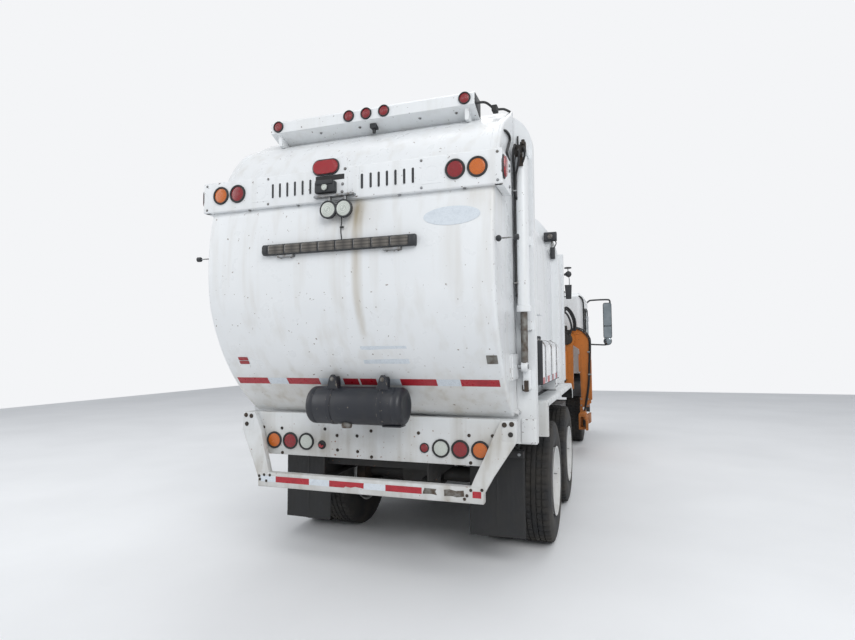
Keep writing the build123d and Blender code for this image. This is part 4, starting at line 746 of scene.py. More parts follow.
addPiece("stopLampAndCamera", markers, plateFinishes, "tailgate")
print("light bars made")

# Signal bar: a dark housing with eight smoked cells between ribs, clipped to the sheet.
signal = {"half": 568.0, "low": 2345.0, "high": 2420.0, "rear": -1860.0, "cells": 8, "margin": 46.0}
signalHalf, rear = signal["half"], signal["rear"]
tall = (signal["low"], signal["high"])
cellX = np.linspace(signal["margin"] - signalHalf, signalHalf - signal["margin"], signal["cells"] + 1)
cellZ, capStart = (signal["low"] + 5, signal["high"] - 5), signalHalf - 44
housing = [slabPart(roundedRect((rear + 7, -1812), tall, 12), "x", 3 - signalHalf, signalHalf - 3, 6)]
housing += boxParts(*[((a + 5, b - 5), (rear + 1, rear + 30), cellZ, 7, 12, 1)
                      for a, b in zip(cellX, cellX[1:])])
housing += [slabPart(roundedRect((rear, -1814), tall, 24), "x", side * capStart, side * signalHalf, 10)
            for side in (-1, 1)]
housing += boxParts(*[((x - 62, x + 62), (-1842, -1806), (2326, 2346), 2, 4, 2) for x in (-390, 400)])
housing += boltParts([(x, -1824, 2326) for x in (-430, -350, 360, 440)], "z", -1, 6, 2)
addPiece("signalBar", housing, [plastic, smoked, steel], "tailgate", ("signal_bar",))

# Leads held to the sheet: from the signal bar up to the work lamps, down from the top bar, and a loop
# on the right side. Each is a radius and a route.
gateLeads = (
    (4, [(35, -1822, 2422), (30, -1826, 2480), (34, -1822, 2550), (28, -1822, 2590)]),
    (9, [(840, -1330, 3440), (905, -1290, 3450), (960, -1230, 3420), (1010, -1160, 3440),
         (1040, -1080, 3450)]),
    (9, [(1052, -1440, 3170), (1066, -1410, 3178), (1070, -1346, 3187), (1070, -1284, 3190),
         (1070, -1262, 3163), (1070, -1302, 3120), (1070, -1355, 3068), (1070, -1382, 3034),
         (1070, -1350, 3011), (1068, -1290, 3010), (1052, -1250, 3020)]),
)
leads = [tubePart(points, radius) for radius, points in gateLeads]
leads += boxParts(((20, 46), (-1824, -1810), (2500, 2512), 2, 3),
                  ((940, 980), (-1262, -1200), (3396, 3440), 3, 5))
addPiece("gateLeads", leads, [hose], "tailgate")

# Canister: a lying round tank of rolled sheet with pressed ends, on two hooded lugs.
canister = {"y": -1545.0, "z": 1297.0, "radius": 132.0, "left": -337.0, "right": 382.0, "corner": 34.0}
lowX, highX, radius = canister["left"], canister["right"], canister["radius"]
turn, corner = np.linspace(0, pi / 2, 6), canister["corner"]
endLine = np.stack([corner * (1 - np.cos(turn)), radius - corner + corner * np.sin(turn)], -1)
endLine = np.concatenate([[(10, 0), (8, 70), (0, 82)], endLine])
seams = [(end + way * place, radius - sunk) for end, way in ((lowX, 1), (highX, -1))
         for place, sunk in ((60, 0), (64, 2), (68, 0))[::way]]
bodyLine = np.concatenate([endLine + (lowX, 0), seams, (endLine * (-1, 1) + (highX, 0))[::-1]])
tank = [lathePart(bodyLine, "x", (0, canister["y"], canister["z"]), 48)]
band = np.linspace(0, 2 * pi, 40, endpoint=False)
bandLine = (radius + 3) * np.stack([np.cos(band), np.sin(band)], -1) + (canister["y"], canister["z"])
lug = np.array([(54, 1400), (44, 1424), (24, 1490), (10, 1514)])
lug = np.concatenate([lug * (-1, 1), lug[::-1]])
web = np.array([(-20, 1405), (-20, 1500), (20, 1500), (20, 1405)])
for x in (-154, 230):
    tank += [slabPart(lug + (x, 0), "y", -1606, -1574, 4),
             slabPart(web + (x, 0), "y", -1580, gateY(1480) + 4, 4),
             slabPart(bandLine, "x", x - 16, x + 16, 2), *boltParts([(x, -1606, 1484)], "y", -1, 10, 1)]
tank += [plugPart([(0, 34), (16, 38), (30, 38), (40, 30)], "z", (-44, -1590, 1146), 20, 1),
         boxPart((226, 362), (-1600, -1500), (1160, 1172), 3, 5)]
addPiece("canisterTank", tank, [navyPaint, wornSteelAndPaintedReflection], "tailgate", ("canister",))

# Marker rods: a thin rod from a ball on the sheet to a clamp out at the side.
rodPlace = (0, -1750, 2370)
rods = bothSides([
    plugPart([(1062, 12), (1072, 20), (1084, 20), (1094, 10)], "x", rodPlace, 20),
    plugPart([(1090, 5), (1180, 4)], "x", rodPlace, 12, 1),
    plugPart([(1172, 15), (1176, 18), (1201, 18), (1204, 14)], "x", rodPlace, 20),
])
addPiece("markerRods", rods, [plastic, steel], "tailgate", ("marker_rods",))
print("canister and signal bar made")

# Tail panel: a pressed channel under the tailgate, dark bolts along it.
panel = {"half": 1082.0, "face": -1285.0, "front": -1225.0, "low": 870.0, "high": 1200.0}
face, front, low, high = [panel[key] for key in ("face", "front", "low", "high")]
section = np.array([(front, high), (face + 8, high), (face + 2, high - 2), (face, high - 8)])
inner = np.array([(front, high - 9), (face + 12, high - 9), (face + 9, high - 12)])
section = np.concatenate([section, flipped(section[::-1], low, high), flipped(inner, low, high), inner[::-1]])
sheet = slabPart(section, "x", -panel["half"], panel["half"], 1.5, rim=0)
reach = 900 + 1.2 * (sheet["points"][:, 2] - low)
sheet["points"][:, 0] = np.clip(sheet["points"][:, 0], -reach, reach)
panelBolts = [
    (-935, 1078), (-768, 1076), (-386, 1083), (-282, 1038), (-114, 1041), (1, 1083), (377, 1083), (754, 1081),
    (922, 1085), (-762, 885), (-278, 929), (-109, 925), (5, 891), (764, 891),
]
hook = [(-436, 948), (-411, 940), (-392, 952), (-398, 963), (-410, 958), (-421, 972), (-433, 968)]
parts = [sheet, *boltParts([(x, face, z) for x, z in panelBolts], "y", -1, 8, 1),
         *lampParts("y", (422, face, 979), 36, -1, 2, 3, 8),
         plugPart([(0, 34), (-5, 33), (-7, 26), (-4, 22)], "y", (-411, face, 962), 28, 3),
         slabPart(hook, "y", face - 11, face - 3, 1.5, 2)]
addPiece("tailPanel", parts, [guardPaint, castIron, redLens, rubber], "truck", ("tail_panel",))

# Lamps of the panel, and the head lamps in the bumper: a dark well with two round lamps each.
tailLamp = {"x": (835, 690, 547), "z": 982, "radius": 66}
headLamp = {"x": (828, 972), "y": 7030, "z": 505, "radius": 64, "rise": 14}
lamps = []
for x, colour in zip(tailLamp["x"], (1, 2, 3)):
    lamps += lampParts("y", (x, face, tailLamp["z"]), tailLamp["radius"], -1, colour, 0)
lamps.append(boxPart((752, 1048), (headLamp["y"] - 22, headLamp["y"]), (432, 578), 4, 20))
for x in headLamp["x"]:
    place = (x, headLamp["y"], headLamp["z"])
    lamps += lampParts("y", place, headLamp["radius"], 1, 3, 4, headLamp["rise"])
lampFinishes = [rubber, amberLens, redLens, clearLens, chrome]
addPiece("roadLamps", bothSides(lamps), lampFinishes, "truck", ("road_lamps",))

# Underride guard: a square tube on two struts, each a flat-faced taper that leans in to the tube's end.
guard = {"half": 885.0, "rear": -1427.0, "depth": 70.0, "low": 647.0, "high": 757.0}
tapeFace = guard["rear"]
# A strut's rows are its height, its inner and outer X and its middle in Y.
strut = ((1200, 990, 1100, -1310), (1130, 957, 1100, -1310), (1060, 925, 1100, -1312),
         (960, 886, 1036, -1341), (820, 822, 946, -1378), (706, 775, 884, -1401))
rows = [np.column_stack([roundedRect((a, b), (y - 25, y + 25), 5), np.full(16, z)]) for z, a, b, y in strut]
strutBolts = [(1066, -1338, 1176), (1058, -1338, 1106), (1016, -1338, 1170)]
parts = bothSides([gridPart(rows), boxPart((996, 1098), (-1338, -1330), (1060, 1196), 2),
                   *boltParts(strutBolts, "y", -1, 11, 1)])
parts.append(boxPart((-guard["half"], guard["half"]), (tapeFace, tapeFace + guard["depth"]),
                     (guard["low"], guard["high"]), 3, 10))
tubeBolts = [(-875, 728), (-868, 702), (-831, 738), (-811, 694), (-780, 738), (755, 676), (772, 700),
             (799, 738), (876, 744)]
parts += boltParts([(x, tapeFace, z) for x, z in tubeBolts], "y", -1, 7, 1)
addPiece("underrideGuard", parts, [guardPaint, castIron], "truck", ("underride_guard",))

# Tape on the guard's tube, in part torn off; bare patches show where lengths are gone. Whole lengths
# are two ends and a slot, torn ones how far they stand off, a slot and an outline.
lengths = ((-727, -439, 0), (-439, -272, 1), (177, 449, 0), (811, 871, 0), (8, 175, 1), (-860, -729, 1))
torn = (
    (0.9, 0, [(-270, 688), (-150, 688), (-140, 697), (-96, 691), (-60, 700), (6, 692), (8, 731),
              (-270, 732)]),
    (0.9, 2, [(455, 690), (520, 694), (560, 688), (548, 712), (557, 730), (470, 731), (461, 712)]),
    (0.6, 2, [(612, 686), (668, 690), (700, 684), (755, 692), (750, 733), (690, 727), (650, 735),
              (610, 729)]),
)
guardTapeZ = (688, 732)
parts = [slabPart(roundedRect((a, b), guardTapeZ, 2), "y", tapeFace - 0.9, tapeFace + 0.5, 0.3, slot)
         for a, b, slot in lengths]
parts += [slabPart(line, "y", tapeFace - proud, tapeFace + 0.5, proud / 3, slot, 0)
          for proud, slot, line in torn]
addPiece("guardTape", parts, [redTape, paleTape, wornSteelAndPaintedReflection], "truck")

# Mud flaps: ribbed rubber sheets that hang a little bent, each held by a bar with bolts.
flap = {"near": 620.0, "far": 1056.0, "low": 230.0, "high": 905.0, "y": -753.0, "thick": 9.0, "bow": 16.0}
x, z = np.meshgrid(np.linspace(flap["near"], flap["far"], 25), np.linspace(flap["low"], flap["high"], 28))
u, v = (x - flap["near"]) / (flap["far"] - flap["near"]), (flap["high"] - z) / (flap["high"] - flap["low"])
ribs = 3 * np.cos(26 * pi * u) * (v > 0.08) * (v < 0.95)
sheet = np.stack([x, flap["y"] - flap["bow"] * v**2 * (0.6 + 0.4 * np.cos(pi * u)) + ribs, z], -1)
parts = bothSides([
    gridPart(np.concatenate([sheet, (sheet + (0, flap["thick"], 0))[:, ::-1]], 1)),
    boxPart((440, 1056), (-786, -763), (846, 900), 3, 4, 1),
    *boltParts([(x, -786, 873) for x in (660, 780, 900, 1020)], "y", -1, 8, 2),
])
addPiece("mudFlaps", parts, [rubber, chassisPaintAndShade, steel], "truck", ("mud_flaps",))
print("tail made")

# Lift cylinders: a painted barrel with a gland and welded ports, and a rod with its eye.
# The chromed rod is drawn in dull worn steel: a painted reflection of the dark surroundings it mirrors.
lift = {"x": 1130.0, "y": -1135.0, "eyeTop": 3130.0, "eyeFoot": 1560.0}
x, y = lift["x"], lift["y"]
barrelLine = [(1950, 27), (1950, 50), (1954, 53), (1992, 53), (1996, 50), (1998, 45), (3052, 45), (3072, 41),
              (3080, 24), (3086, 0)]
topEye = [(-22, 19), (-22, 30), (-18, 32), (18, 32), (22, 30), (22, 19)]
barrel = [
    lathePart(barrelLine, "z", (x, y, 0), 32),
    boxPart((x - 22, x + 22), (y - 28, y + 28), (3066, 3100), 3, 8),
    lathePart(topEye, "x", (x, y, lift["eyeTop"]), 28, wrapRows=True),
    boxPart((x - 20, x + 20), (y - 25, y + 25), (3086, 3122), 3, 8),
]
port = [(0, 14), (20, 14), (24, 11), (40, 11), (42, 8)]
barrel += [plugPart(port, "y", (x, -1098, z), 16, 1) for z in (2030, 3020)]
pipe = [(-1062, 3020), (-1050, 2990), (-1046, 2900), (-1046, 2160), (-1050, 2060), (-1062, 2030)]
barrel.append(tubePart([(x, *place) for place in pipe], 7, 1, 8, 5))
footEye = [(-22, 18.5), (-22, 33), (-19, 35), (19, 35), (22, 33), (22, 18.5)]
rod = [
    plugPart([(1586, 25), (2990, 25), (3000, 22), (3010, 0)], "z", (x, y, 0), 28, 1),
    lathePart(footEye, "x", (x, y, lift["eyeFoot"]), 28, wrapRows=True),
    plugPart([(1080.5, 17.5), (1156, 17.5), (1158, 15)], "x", (0, y, lift["eyeFoot"]), 24, 2),
]
rodFinishesPaintedReflection = [whitePaint, wornSteelAndPaintedReflection, steel]
for name, side in sides:
    body = "tailgate_cylinder_" + name
    addPiece("liftBarrel_" + name, onSide(barrel, side), [whitePaint, steel], body, (body,))
    body = "tailgate_rod_" + name
    addPiece("liftRod_" + name, onSide(rod, side), rodFinishesPaintedReflection, body, (body,))

# Ring: pads behind the cylinders, fittings on the right post, latch plates lower down.
parts = bothSides(boxParts(
    *[((1088, 1176), (-1072, -1048), (z, z + 70), 3, 5) for z in (2440, 1820)],
    ((1108, 1166), (-1100, -1049), (1396, 1540), 3, 8),
    ((1120, 1150), (-1122, -1096), (1380, 1460), 3, 6, 1),
    ((1086, 1190), (-1062, -1049), (1012, 1180), 2, 4),
) + boltParts([(x, -1050, z) for x in (1110, 1172) for z in (1160, 1040)], "y", -1, 8, 1))
fitting = [(0, 22), (10, 24), (24, 24), (30, 16), (36, 16), (38, 12)]
parts += [plugPart(fitting, "x", (1100, -1066, z), 18, 1) for z in (1405, 1581, 1661, 1839)]
addPiece("ringFittings", parts, [whitePaint, castIron], "truck")

# Lift cylinder's lock valve on the right: it rides on the barrel with its hoses, which hug the barrel.
valve = boxParts(
    ((1096, 1150), (-1236, -1192), (3062, 3136)), ((1134, 1174), (-1228, -1192), (3088, 3158)),
    ((1112, 1148), (-1196, -1172), (2996, 3066), 3, 4), ((1090, 1104), (-1222, -1196), (3082, 3150), 4, 4),
)
valveFitting = ((0, 13), (8, 13), (9, 9), (22, 9), (23, 12), (30, 12))
valvePorts = ((1106, -1238, 3120), (1132, -1238, 3088), (1160, -1230, 3140), (1164, -1230, 3106))
valve += [fittingPart(place, valveFitting, 0) for place in valvePorts]
valve.append(plugPart([(0, 10), (14, 10), (15, 13), (24, 13)], "z", (1154, -1210, 3150), 6))
addPiece("liftValve", valve, [castIron], "tailgate_cylinder_right")
liftHoses = [
    [(1106, -1264, 3120), (1098, -1280, 3092), (1092, -1262, 3034), (1086, -1214, 2990), (1082, -1170, 2950),
     (1080, -1158, 2880), (1080, -1156, 2500), (1080, -1156, 2110), (1088, -1150, 2070), (1096, -1146, 2040)],
    [(1132, -1264, 3088), (1138, -1284, 3056), (1130, -1268, 3008), (1112, -1224, 2962), (1096, -1188, 2930),
     (1091, -1174, 2880), (1091, -1172, 2790), (1102, -1162, 2760)],
    [(1164, -1256, 3106), (1174, -1268, 3078), (1168, -1246, 3040), (1150, -1200, 3024), (1142, -1180, 3020)],
]
parts = [tubePart(points, 8, 0, 8, 8) for points in liftHoses]
parts += boxParts(*[((1070, 1098), (-1182, -1146), (z, z + 12), 2, 4, 1) for z in (2816, 2470, 2150)])
addPiece("liftHoses", parts, [hose, steel], "tailgate_cylinder_right")
ringLine = [(1092, -1054, 3262), (1092, -1064, 3240), (1092, -1062, 3190), (1080, -1061, 3140),
            (1076, -1060, 2960), (1076, -1060, 2100), (1076, -1052, 2070)]
parts = [tubePart(ringLine, 7, 0, 8, 8)]
parts += boxParts(*[((1066, 1088), (-1070, -1049), (z, z + 14), 2, 4, 1) for z in (2900, 2472, 2150)])
addPiece("ringHoses", parts, [hose, steel], "truck")
print("ring and cylinders made")

# Fenders: sheet tops with a rolled outer edge and drops at both ends, lined with a dark sheet.
fenderLine = np.concatenate([
    [(-600, 990), (-600, 1250)], arcThrough((-600, 1252), (-593, 1268), (-577, 1275), 6)[1:], [(1790, 1275)],
    arcThrough((1800, 1275), (1832, 1269), (1858, 1255), 6),
    arcThrough((1962, 1202), (1975, 1188), (1980, 1170), 5), [(1980, 1090)],
])
sheetRim = [(1090, 0), (1196, 0), (1214, -1), (1222, -7), (1225, -18), (1225, -46), (1221, -50), (1217, -46),
            (1217, -20), (1210, -11), (1196, -9), (1090, -9)]
liningRim = [(1090, -11), (1196, -11), (1208.5, -12.5), (1215.3, -20.5), (1215.3, -45)]
flow = unit(np.gradient(fenderLine, axis=0))
normal = np.stack([-flow[:, 1], flow[:, 0]], -1)


# A rim of (X, height over the line) carried along the fender's line.
def fenderSheet(rim, **settings):
    rim = np.array(rim)
    places = fenderLine[:, None] + normal[:, None] * rim[None, :, 1:]
    x = np.broadcast_to(rim[None, :, :1], places.shape[:2] + (1,))
    return gridPart(np.concatenate([x, places], -1), **settings)


parts = [fenderSheet(sheetRim), fenderSheet(liningRim, slot=1, wrap=False, caps=False)]
parts += boxParts(*[((1037, 1100), (y, y + 12), (1180, 1264), 2, 3, 1) for y in (-480, 120, 720, 1320, 1700)],
                  ((1037, 1098), (-500, 1780), (1262, 1272), 2, 3, 1))
addPiece("fenderSheets", bothSides(parts), [guardPaint, chassisPaintAndShade], "truck", ("fenders",))

# Right side over the fender: a bright tank with a black edged top and striped tape along its foot.
sideTank = {"inner": 1037.0, "outer": 1205.0, "rear": -750.0, "front": 500.0, "low": 1400.0, "high": 1760.0}
inner, outer, low, high = [sideTank[key] for key in ("inner", "outer", "low", "high")]
section = np.concatenate([
    [(inner, low), (outer - 26, low)],
    arcThrough((outer - 26, low), (outer - 8, low + 8), (outer, low + 26), 6)[1:],
    arcThrough((outer, high - 70), (outer - 20, high - 20), (outer - 70, high), 10), [(inner, high)],
])
parts = [slabPart(section, "y", sideTank["rear"], sideTank["front"], 5, rim=0)]
band = [(x + 3.5 * (x > 1100), z + 3.5 * (z > 1700) - 3.5 * (z < 1410)) for x, z in section]
parts += [slabPart(band, "y", y, y + 42, 1.5, 1, 0) for y in (-560, -130, 300)]
parts += [boxPart((1120, 1208), (-752, -734), (low + 6, high - 8), 3, 12, 2),
          plugPart([(0, 34), (6, 36), (26, 36), (32, 30), (34, 0)], "z", (1120, -430, high), 24, 2)]
parts += boltParts([(1150, y, high + 3) for y in (-530, 330)], "z", 1, 7, 1)
addPiece("sideTank", parts, [aluminium, steel, plastic], "truck", ("side_tank",))
sideTape = {"start": -740, "end": 500, "length": 150, "step": 155, "low": 1412, "high": 1462}
parts = []
for index, y in enumerate(range(sideTape["start"], sideTape["end"], sideTape["step"])):
    outline = roundedRect((y, y + sideTape["length"]), (sideTape["low"], sideTape["high"]), 2)
    parts.append(slabPart(outline, "x", outer - 0.4, outer + 1.2, 0.3, index % 2))
parts.append(boxPart((1204, 1207), (-742, 492), (1404, 1411), 0.8, 1, 2))
addPiece("sideTape", parts, [redTape, paleTape, plastic], "truck")

# A pale frame at the tank's front end, two small boxes, and a lamp on the raised band.
frameLine = [(508, 1290), (508, 1705), (520, 1712), (600, 1712), (640, 1690), (640, 1290), (630, 1284),
             (516, 1284)]
parts = [slabPart(frameLine, "x", inner, 1176, 4)]
parts += boxParts(((inner, 1122), (-420, -60), (1980, 2107), 4, 8),
                  ((inner, 1150), (700, 780), (1290, 1470), 3))
parts += boltParts([(1176, y, z) for y in (530, 618) for z in (1320, 1500, 1680)], "x", 1, 7, 1)
addPiece("sideBoxes", parts, [whitePaint, steel], "truck")
parts = boxParts(
    ((966, 1112), (1482, 1553), (2954, 3060), 6, 14), ((1034, 1088), (1502, 1553), (2748, 2880), 4, 8),
    ((1046, 1066), (1524, 1546), (2870, 2964), 2, 4, 1),
)
parts.append(tubePart([(1090, 1530, 2960), (1104, 1526, 2930), (1092, 1528, 2900), (1076, 1530, 2872)], 6))
parts += lampParts("y", (1040, 1482, 3006), 38, -1, 2, 0, 8)
addPiece("bandLamp", parts, [plastic, steel, smoked], "truck")
print("sides made")


# Places and radii of a section carried round the X axis by the angles.
def turned(x, r, angle):
    return np.stack(np.broadcast_arrays(x, r * np.cos(angle), r * np.sin(angle)), -1)


# Tyre: a section from bead to bead carried round. Four grooves run round it; across it, each lug is
# a few columns high and one low. The rows stand closer where the section turns.
def tyrePart(centre, radius, lugs):
    flank = [(-104, 284), (-112, 287), (-118, 300), (-128, 340), (-136, 385), (-138, 420), (-135, 455),
             (-128, 484), (-122, radius - 22), (-118, radius - 9), (-112, radius - 4), (-104, radius - 2)]
    ribs = []
    for low, high in ((-104, -70), (-60, -26), (-18, 16), (26, 60), (70, 104)):
        ribs += [(x, radius) for x in (low, low + 4, high - 4, high)]
        ribs += [(x, radius - 14) for x in (high + 1, high + 9)]
    line = flank + [(x, r) for x, r in ribs if x < 104] + [(-x, r) for x, r in flank[::-1]]
    x, r = np.array(line, float).T[..., None]
    count = lugs * 4
    grooves = np.arange(count) % 4 == 3
    reach = np.clip((r - (radius - 26)) / 20, 0, 1) * (r > radius - 13)
    drop = 11.0 * reach * grooves * np.where(np.abs(x) < 17, 0.25, 1.0)
    angle = (np.arange(count) + 0.35 * np.sin(x / 36.0)) * 2 * pi / count
    inner = [(98, 286), (120, 330), (122, 420), (100, 490), (0, 505)]
    innerX, innerR = np.array(inner + [(-x, r) for x, r in inner[-2::-1]], float).T[..., None]
    rows = np.concatenate([turned(x, r - drop, angle), turned(innerX, innerR, angle[:1])])
    return gridPart(rows + centre, wrapRows=True)


# Wheel disc with hand holes: a ring of cells between two radii. Round each hole the grid is drawn
# from squares to circles, and the cells inside are left out.
def holedDisc(axisX, lowRadius, highRadius, holes, centre, dish):
    t = np.linspace(-1, 1, 13)
    u, v = np.meshgrid(t[:-1], t)
    most, length = np.maximum(abs(u), abs(v)), np.maximum(np.hypot(u, v), 1e-6)
    pull = np.clip((1 - most) / 0.5, 0, 1) * (most >= 0.49)
    u, v = [place * (1 - pull + pull * most / length) for place in (u, v)]
    angle = (np.arange(holes)[None, :, None] + 0.5 + 0.5 * u[:, None]) * 2 * pi / holes
    out = np.broadcast_to((v[:, None] + 1) / 2, angle.shape)
    points = turned(axisX + dish * out**2, lowRadius + (highRadius - lowRadius) * out, angle)
    part = gridPart(points.reshape(len(t), -1, 3) + centre, caps=False)
    inside = np.tile(most <= 0.51, (1, holes)).ravel()
    faces, uv = part["faces"][0]
    stay = inside[faces].sum(1) < 4
    return {**part, "faces": [(faces[stay], uv[stay])]}


# A rim's section: a bead seat at each side and the well between, then back along the inside.
rimLine = np.array([
    (-132, 294), (-137, 298), (-140, 294), (-138, 286), (-128, 280), (-112, 278), (-90, 262), (-40, 256),
    (60, 256), (92, 262), (112, 278), (128, 280), (138, 286), (140, 294), (137, 298), (132, 294),
    (122, 285), (98, 284), (70, 268), (-60, 268), (-96, 284), (-122, 285),
], float)


# A wheel from its values: tyres, rims with the ring that holds the disc, the disc, and the hub with
# its nuts and drum.
def wheelParts(axleY, look):
    radius = look["radius"]
    centre = np.array([0, axleY, radius])
    tyres = [tyrePart(centre + (x, 0, 0), radius, look["lugs"]) for x in look["middles"]]
    closed = [rimLine + (x, 0) for x in look["middles"]] + [look["ring"]]
    barrel = [lathePart(line, "x", centre, 64, wrapRows=True) for line in closed]
    barrel += [lathePart(look["hub"], "x", centre, 48), lathePart(look["drum"], "x", centre, 40, 2)]
    for x, reach, size, count, start in look["nuts"]:
        barrel += boltRing(centre, "x", 1, size, 1, (x, axleY + reach, radius), count, start)
    for path in look["valves"]:
        barrel.append(tubePart([(x, axleY + reach, radius + 4) for x, reach in path], 4, 1, 8, 3))
    discX, near, far, dish = look["disc"]
    return tyres, barrel, [holedDisc(discX, near, far, 10, centre, dish)]


# Rear twin wheels: two tyres on one spool; the outer disc is sunk deep, its hub stands out. Front
# wheels: one tyre, the disc bulging outward, the hub with its oil cap. A disc is its X, its near and far
# radius and its dish; nuts are their X, the radius of their ring, their size, count and first angle.
twinLook = {
    "radius": 520.0, "middles": (739.5, 1082.5), "lugs": 52, "disc": (956, 148, 234, 4.0),
    "ring": [(960, 260), (962, 232), (954, 226), (944, 232), (944, 260)],
    "hub": [(880, 60), (880, 150), (956, 150), (962, 146), (962, 112), (1010, 104), (1040, 96), (1084, 90),
            (1096, 84), (1101, 70), (1101, 0)],
    "drum": [(560, 60), (560, 205), (640, 210), (735, 210), (735, 60)],
    "nuts": ((1098, 62, 8, 8, 0.2), (962, 130, 15, 10, 0)),
    "valves": [[(1150, 270), (1160, 262), (1196, 258)]],
}
singleLook = {
    "radius": 540.0, "middles": (1000,), "lugs": 58, "disc": (1086, 148, 238, -24.0),
    "ring": [(1062, 262), (1064, 236), (1056, 228), (1048, 236), (1048, 262)],
    "hub": [(1030, 60), (1030, 150), (1086, 150), (1092, 146), (1092, 116), (1120, 108), (1140, 92),
            (1172, 80), (1178, 70), (1180, 52), (1180, 0)],
    "drum": [(900, 80), (900, 200), (960, 205), (1000, 205), (1000, 80)],
    "nuts": ((1092, 130, 15, 10, 0),), "valves": [],
}
axles = (("rear", 0.0, twinLook, "s"), ("middle", 1370.0, twinLook, "s"), ("front", 5650.0, singleLook, ""))
for axle, axleY, look, plural in axles:
    tyres, barrel, disc = wheelParts(axleY, look)
    for name, side in sides:
        label = "_" + axle + "_" + name
        body, tyreNode, rimNode = [kind + plural + label for kind in ("wheel", "tyre", "rim")]
        rimFinishes = [rimPaint, steel, castIron]
        addPiece("tyres" + label, onSide(tyres, side), [tread], body, (tyreNode,), sharp=40)
        addPiece("rims" + label, onSide(barrel, side), rimFinishes, body, (rimNode,))
        addPiece("discs" + label, onSide(disc, side), [rimPaint], body, (), wall=10.0)
print("wheels made")

# Loading arm: welded stiffeners, a pivot cover, pads and bolts on the grippers' carrier.
arm = {"x": 950.0, "z": 1850.0, "face": 4782.0, "hose": 11.0, "mastHose": 17.0}
pivotX, pivotZ, face = arm["x"], arm["z"], arm["face"]
pivot = np.array([pivotX, 0, pivotZ])
neck = [(900, 1810), (1040, 1960), (1180, 1985), (1240, 1960), (1180, 1950), (1040, 1920), (940, 1800)]
parts = [
    boxPart((1120, 1150), (4774, 4926), (1300, 1600), 3),
    boxPart((1312, 1330), (4800, 4900), (820, 1500), 3, 5),
    slabPart(neck, "y", 4770, 4781, 2),
    plugPart([(4762, 96), (4768, 102), (4780, 104)], "y", pivot, 36),
    plugPart([(4752, 40), (4764, 46)], "y", pivot, 24, 1),
    *boltRing(pivot, "y", -1, 8, 1, (pivotX + 74, 4768, pivotZ), 6),
    boxPart((1130, 1290), (4768, face), (700, 860), 3, 10),
    *boltParts([(x, 4768, z) for x in (1154, 1266) for z in (726, 834)], "y", -1, 9, 1),
]
addPiece("armDetails", parts, [armPaintAndShade, steel], "lift_arm")
armHoses = [
    [(930, 4762, 1900), (990, 4752, 1990), (1100, 4750, 2028), (1210, 4750, 1976), (1290, 4752, 1870),
     (1306, 4756, 1760), (1296, 4756, 1500), (1276, 4758, 1100), (1230, 4756, 800), (1190, 4750, 560)],
    [(960, 4762, 1930), (1010, 4744, 2016), (1106, 4738, 2050), (1226, 4738, 1996), (1312, 4740, 1880),
     (1326, 4744, 1760), (1314, 4750, 1500), (1294, 4752, 1120), (1250, 4748, 820), (1200, 4740, 600)],
]
parts = [tubePart(points, arm["hose"], 0, 8) for points in armHoses]
parts += boxParts(*[((1272, 1330), (4740, face), (z, z + 26), 2, 5, 1) for z in (1620, 1240)])
addPiece("armHoses", parts, [hose, steel], "lift_arm")

# Mast on the sliding beam: a rotary drive behind the pivot with its fittings, a lift cylinder beside it.
parts = [
    plugPart([(4540, 70), (4548, 86), (4604, 92), (4612, 92)], "y", pivot, 36),
    plugPart([(1180, 46), (1190, 50), (1640, 50), (1650, 44)], "z", (900, 4566, 0), 28, 1),
    plugPart([(1650, 22), (1790, 22)], "z", (900, 4566, 0), 20, 2),
    boxPart((880, 1020), (4560, 4612), (1900, 2010), 6, 12),
    *boxParts(*[(x, (4540, 4612), z, edge, 2 * edge) for x, z, edge in (
        ((900, 960), (2000, 2080), 5), ((872, 928), (1140, 1190), 4), ((872, 928), (1776, 1830), 4))]),
]
mastFitting = ((0, 15), (12, 15), (14, 11), (34, 11), (36, 14), (48, 14))
mastPorts = ((880, 1960), (912, 2040), (1010, 1930), (880, 1700))
parts += [fittingPart((x, 4552, z), mastFitting, 3) for x, z in mastPorts]
addPiece("mastDrive", parts, [castIron, armPaintAndShade, chrome, steel], "arm_slide")
mastHoses = [
    [(880, 4504, 1960), (864, 4480, 2110), (874, 4500, 2270), (946, 4540, 2386), (1026, 4580, 2326),
     (1082, 4606, 2200), (1096, 4620, 2090), (1086, 4630, 1990)],
    [(912, 4504, 2040), (892, 4488, 2130), (900, 4506, 2250), (952, 4540, 2352), (1010, 4576, 2296),
     (1056, 4602, 2184), (1068, 4618, 2090), (1058, 4628, 1990)],
    [(1010, 4504, 1930), (1040, 4470, 2040), (1006, 4450, 2200), (940, 4470, 2300), (884, 4520, 2270),
     (850, 4560, 2080), (846, 4590, 1700), (850, 4600, 1300)],
]
parts = [tubePart(points, arm["mastHose"], 0, 8) for points in mastHoses]
addPiece("mastHoses", parts, [hose], "arm_slide")

# Rubber pads and ribs of the gripper fingers.
for name, y, way in (("finger_rear", 4230, -1), ("finger_front", 4470, 1)):
    inside = arcThrough((1193, y), (1249, y + way * 235), (1275, y + way * 470), 41)
    place = inside[(np.linspace(0.2, 0.98, 12) * 40).astype(int)]
    pad = np.concatenate([place + (-7, 0), (place + (1.5, 0))[::-1]])
    parts = [slabPart(pad, "z", 470, 570, 2, rim=0),
             plugPart([(444, 24), (448, 27), (592, 27), (596, 24)], "z", (1215, y, 0), 24, 1)]
    addPiece("pad_" + name, parts, [rubber, steel], name)
print("arm made")

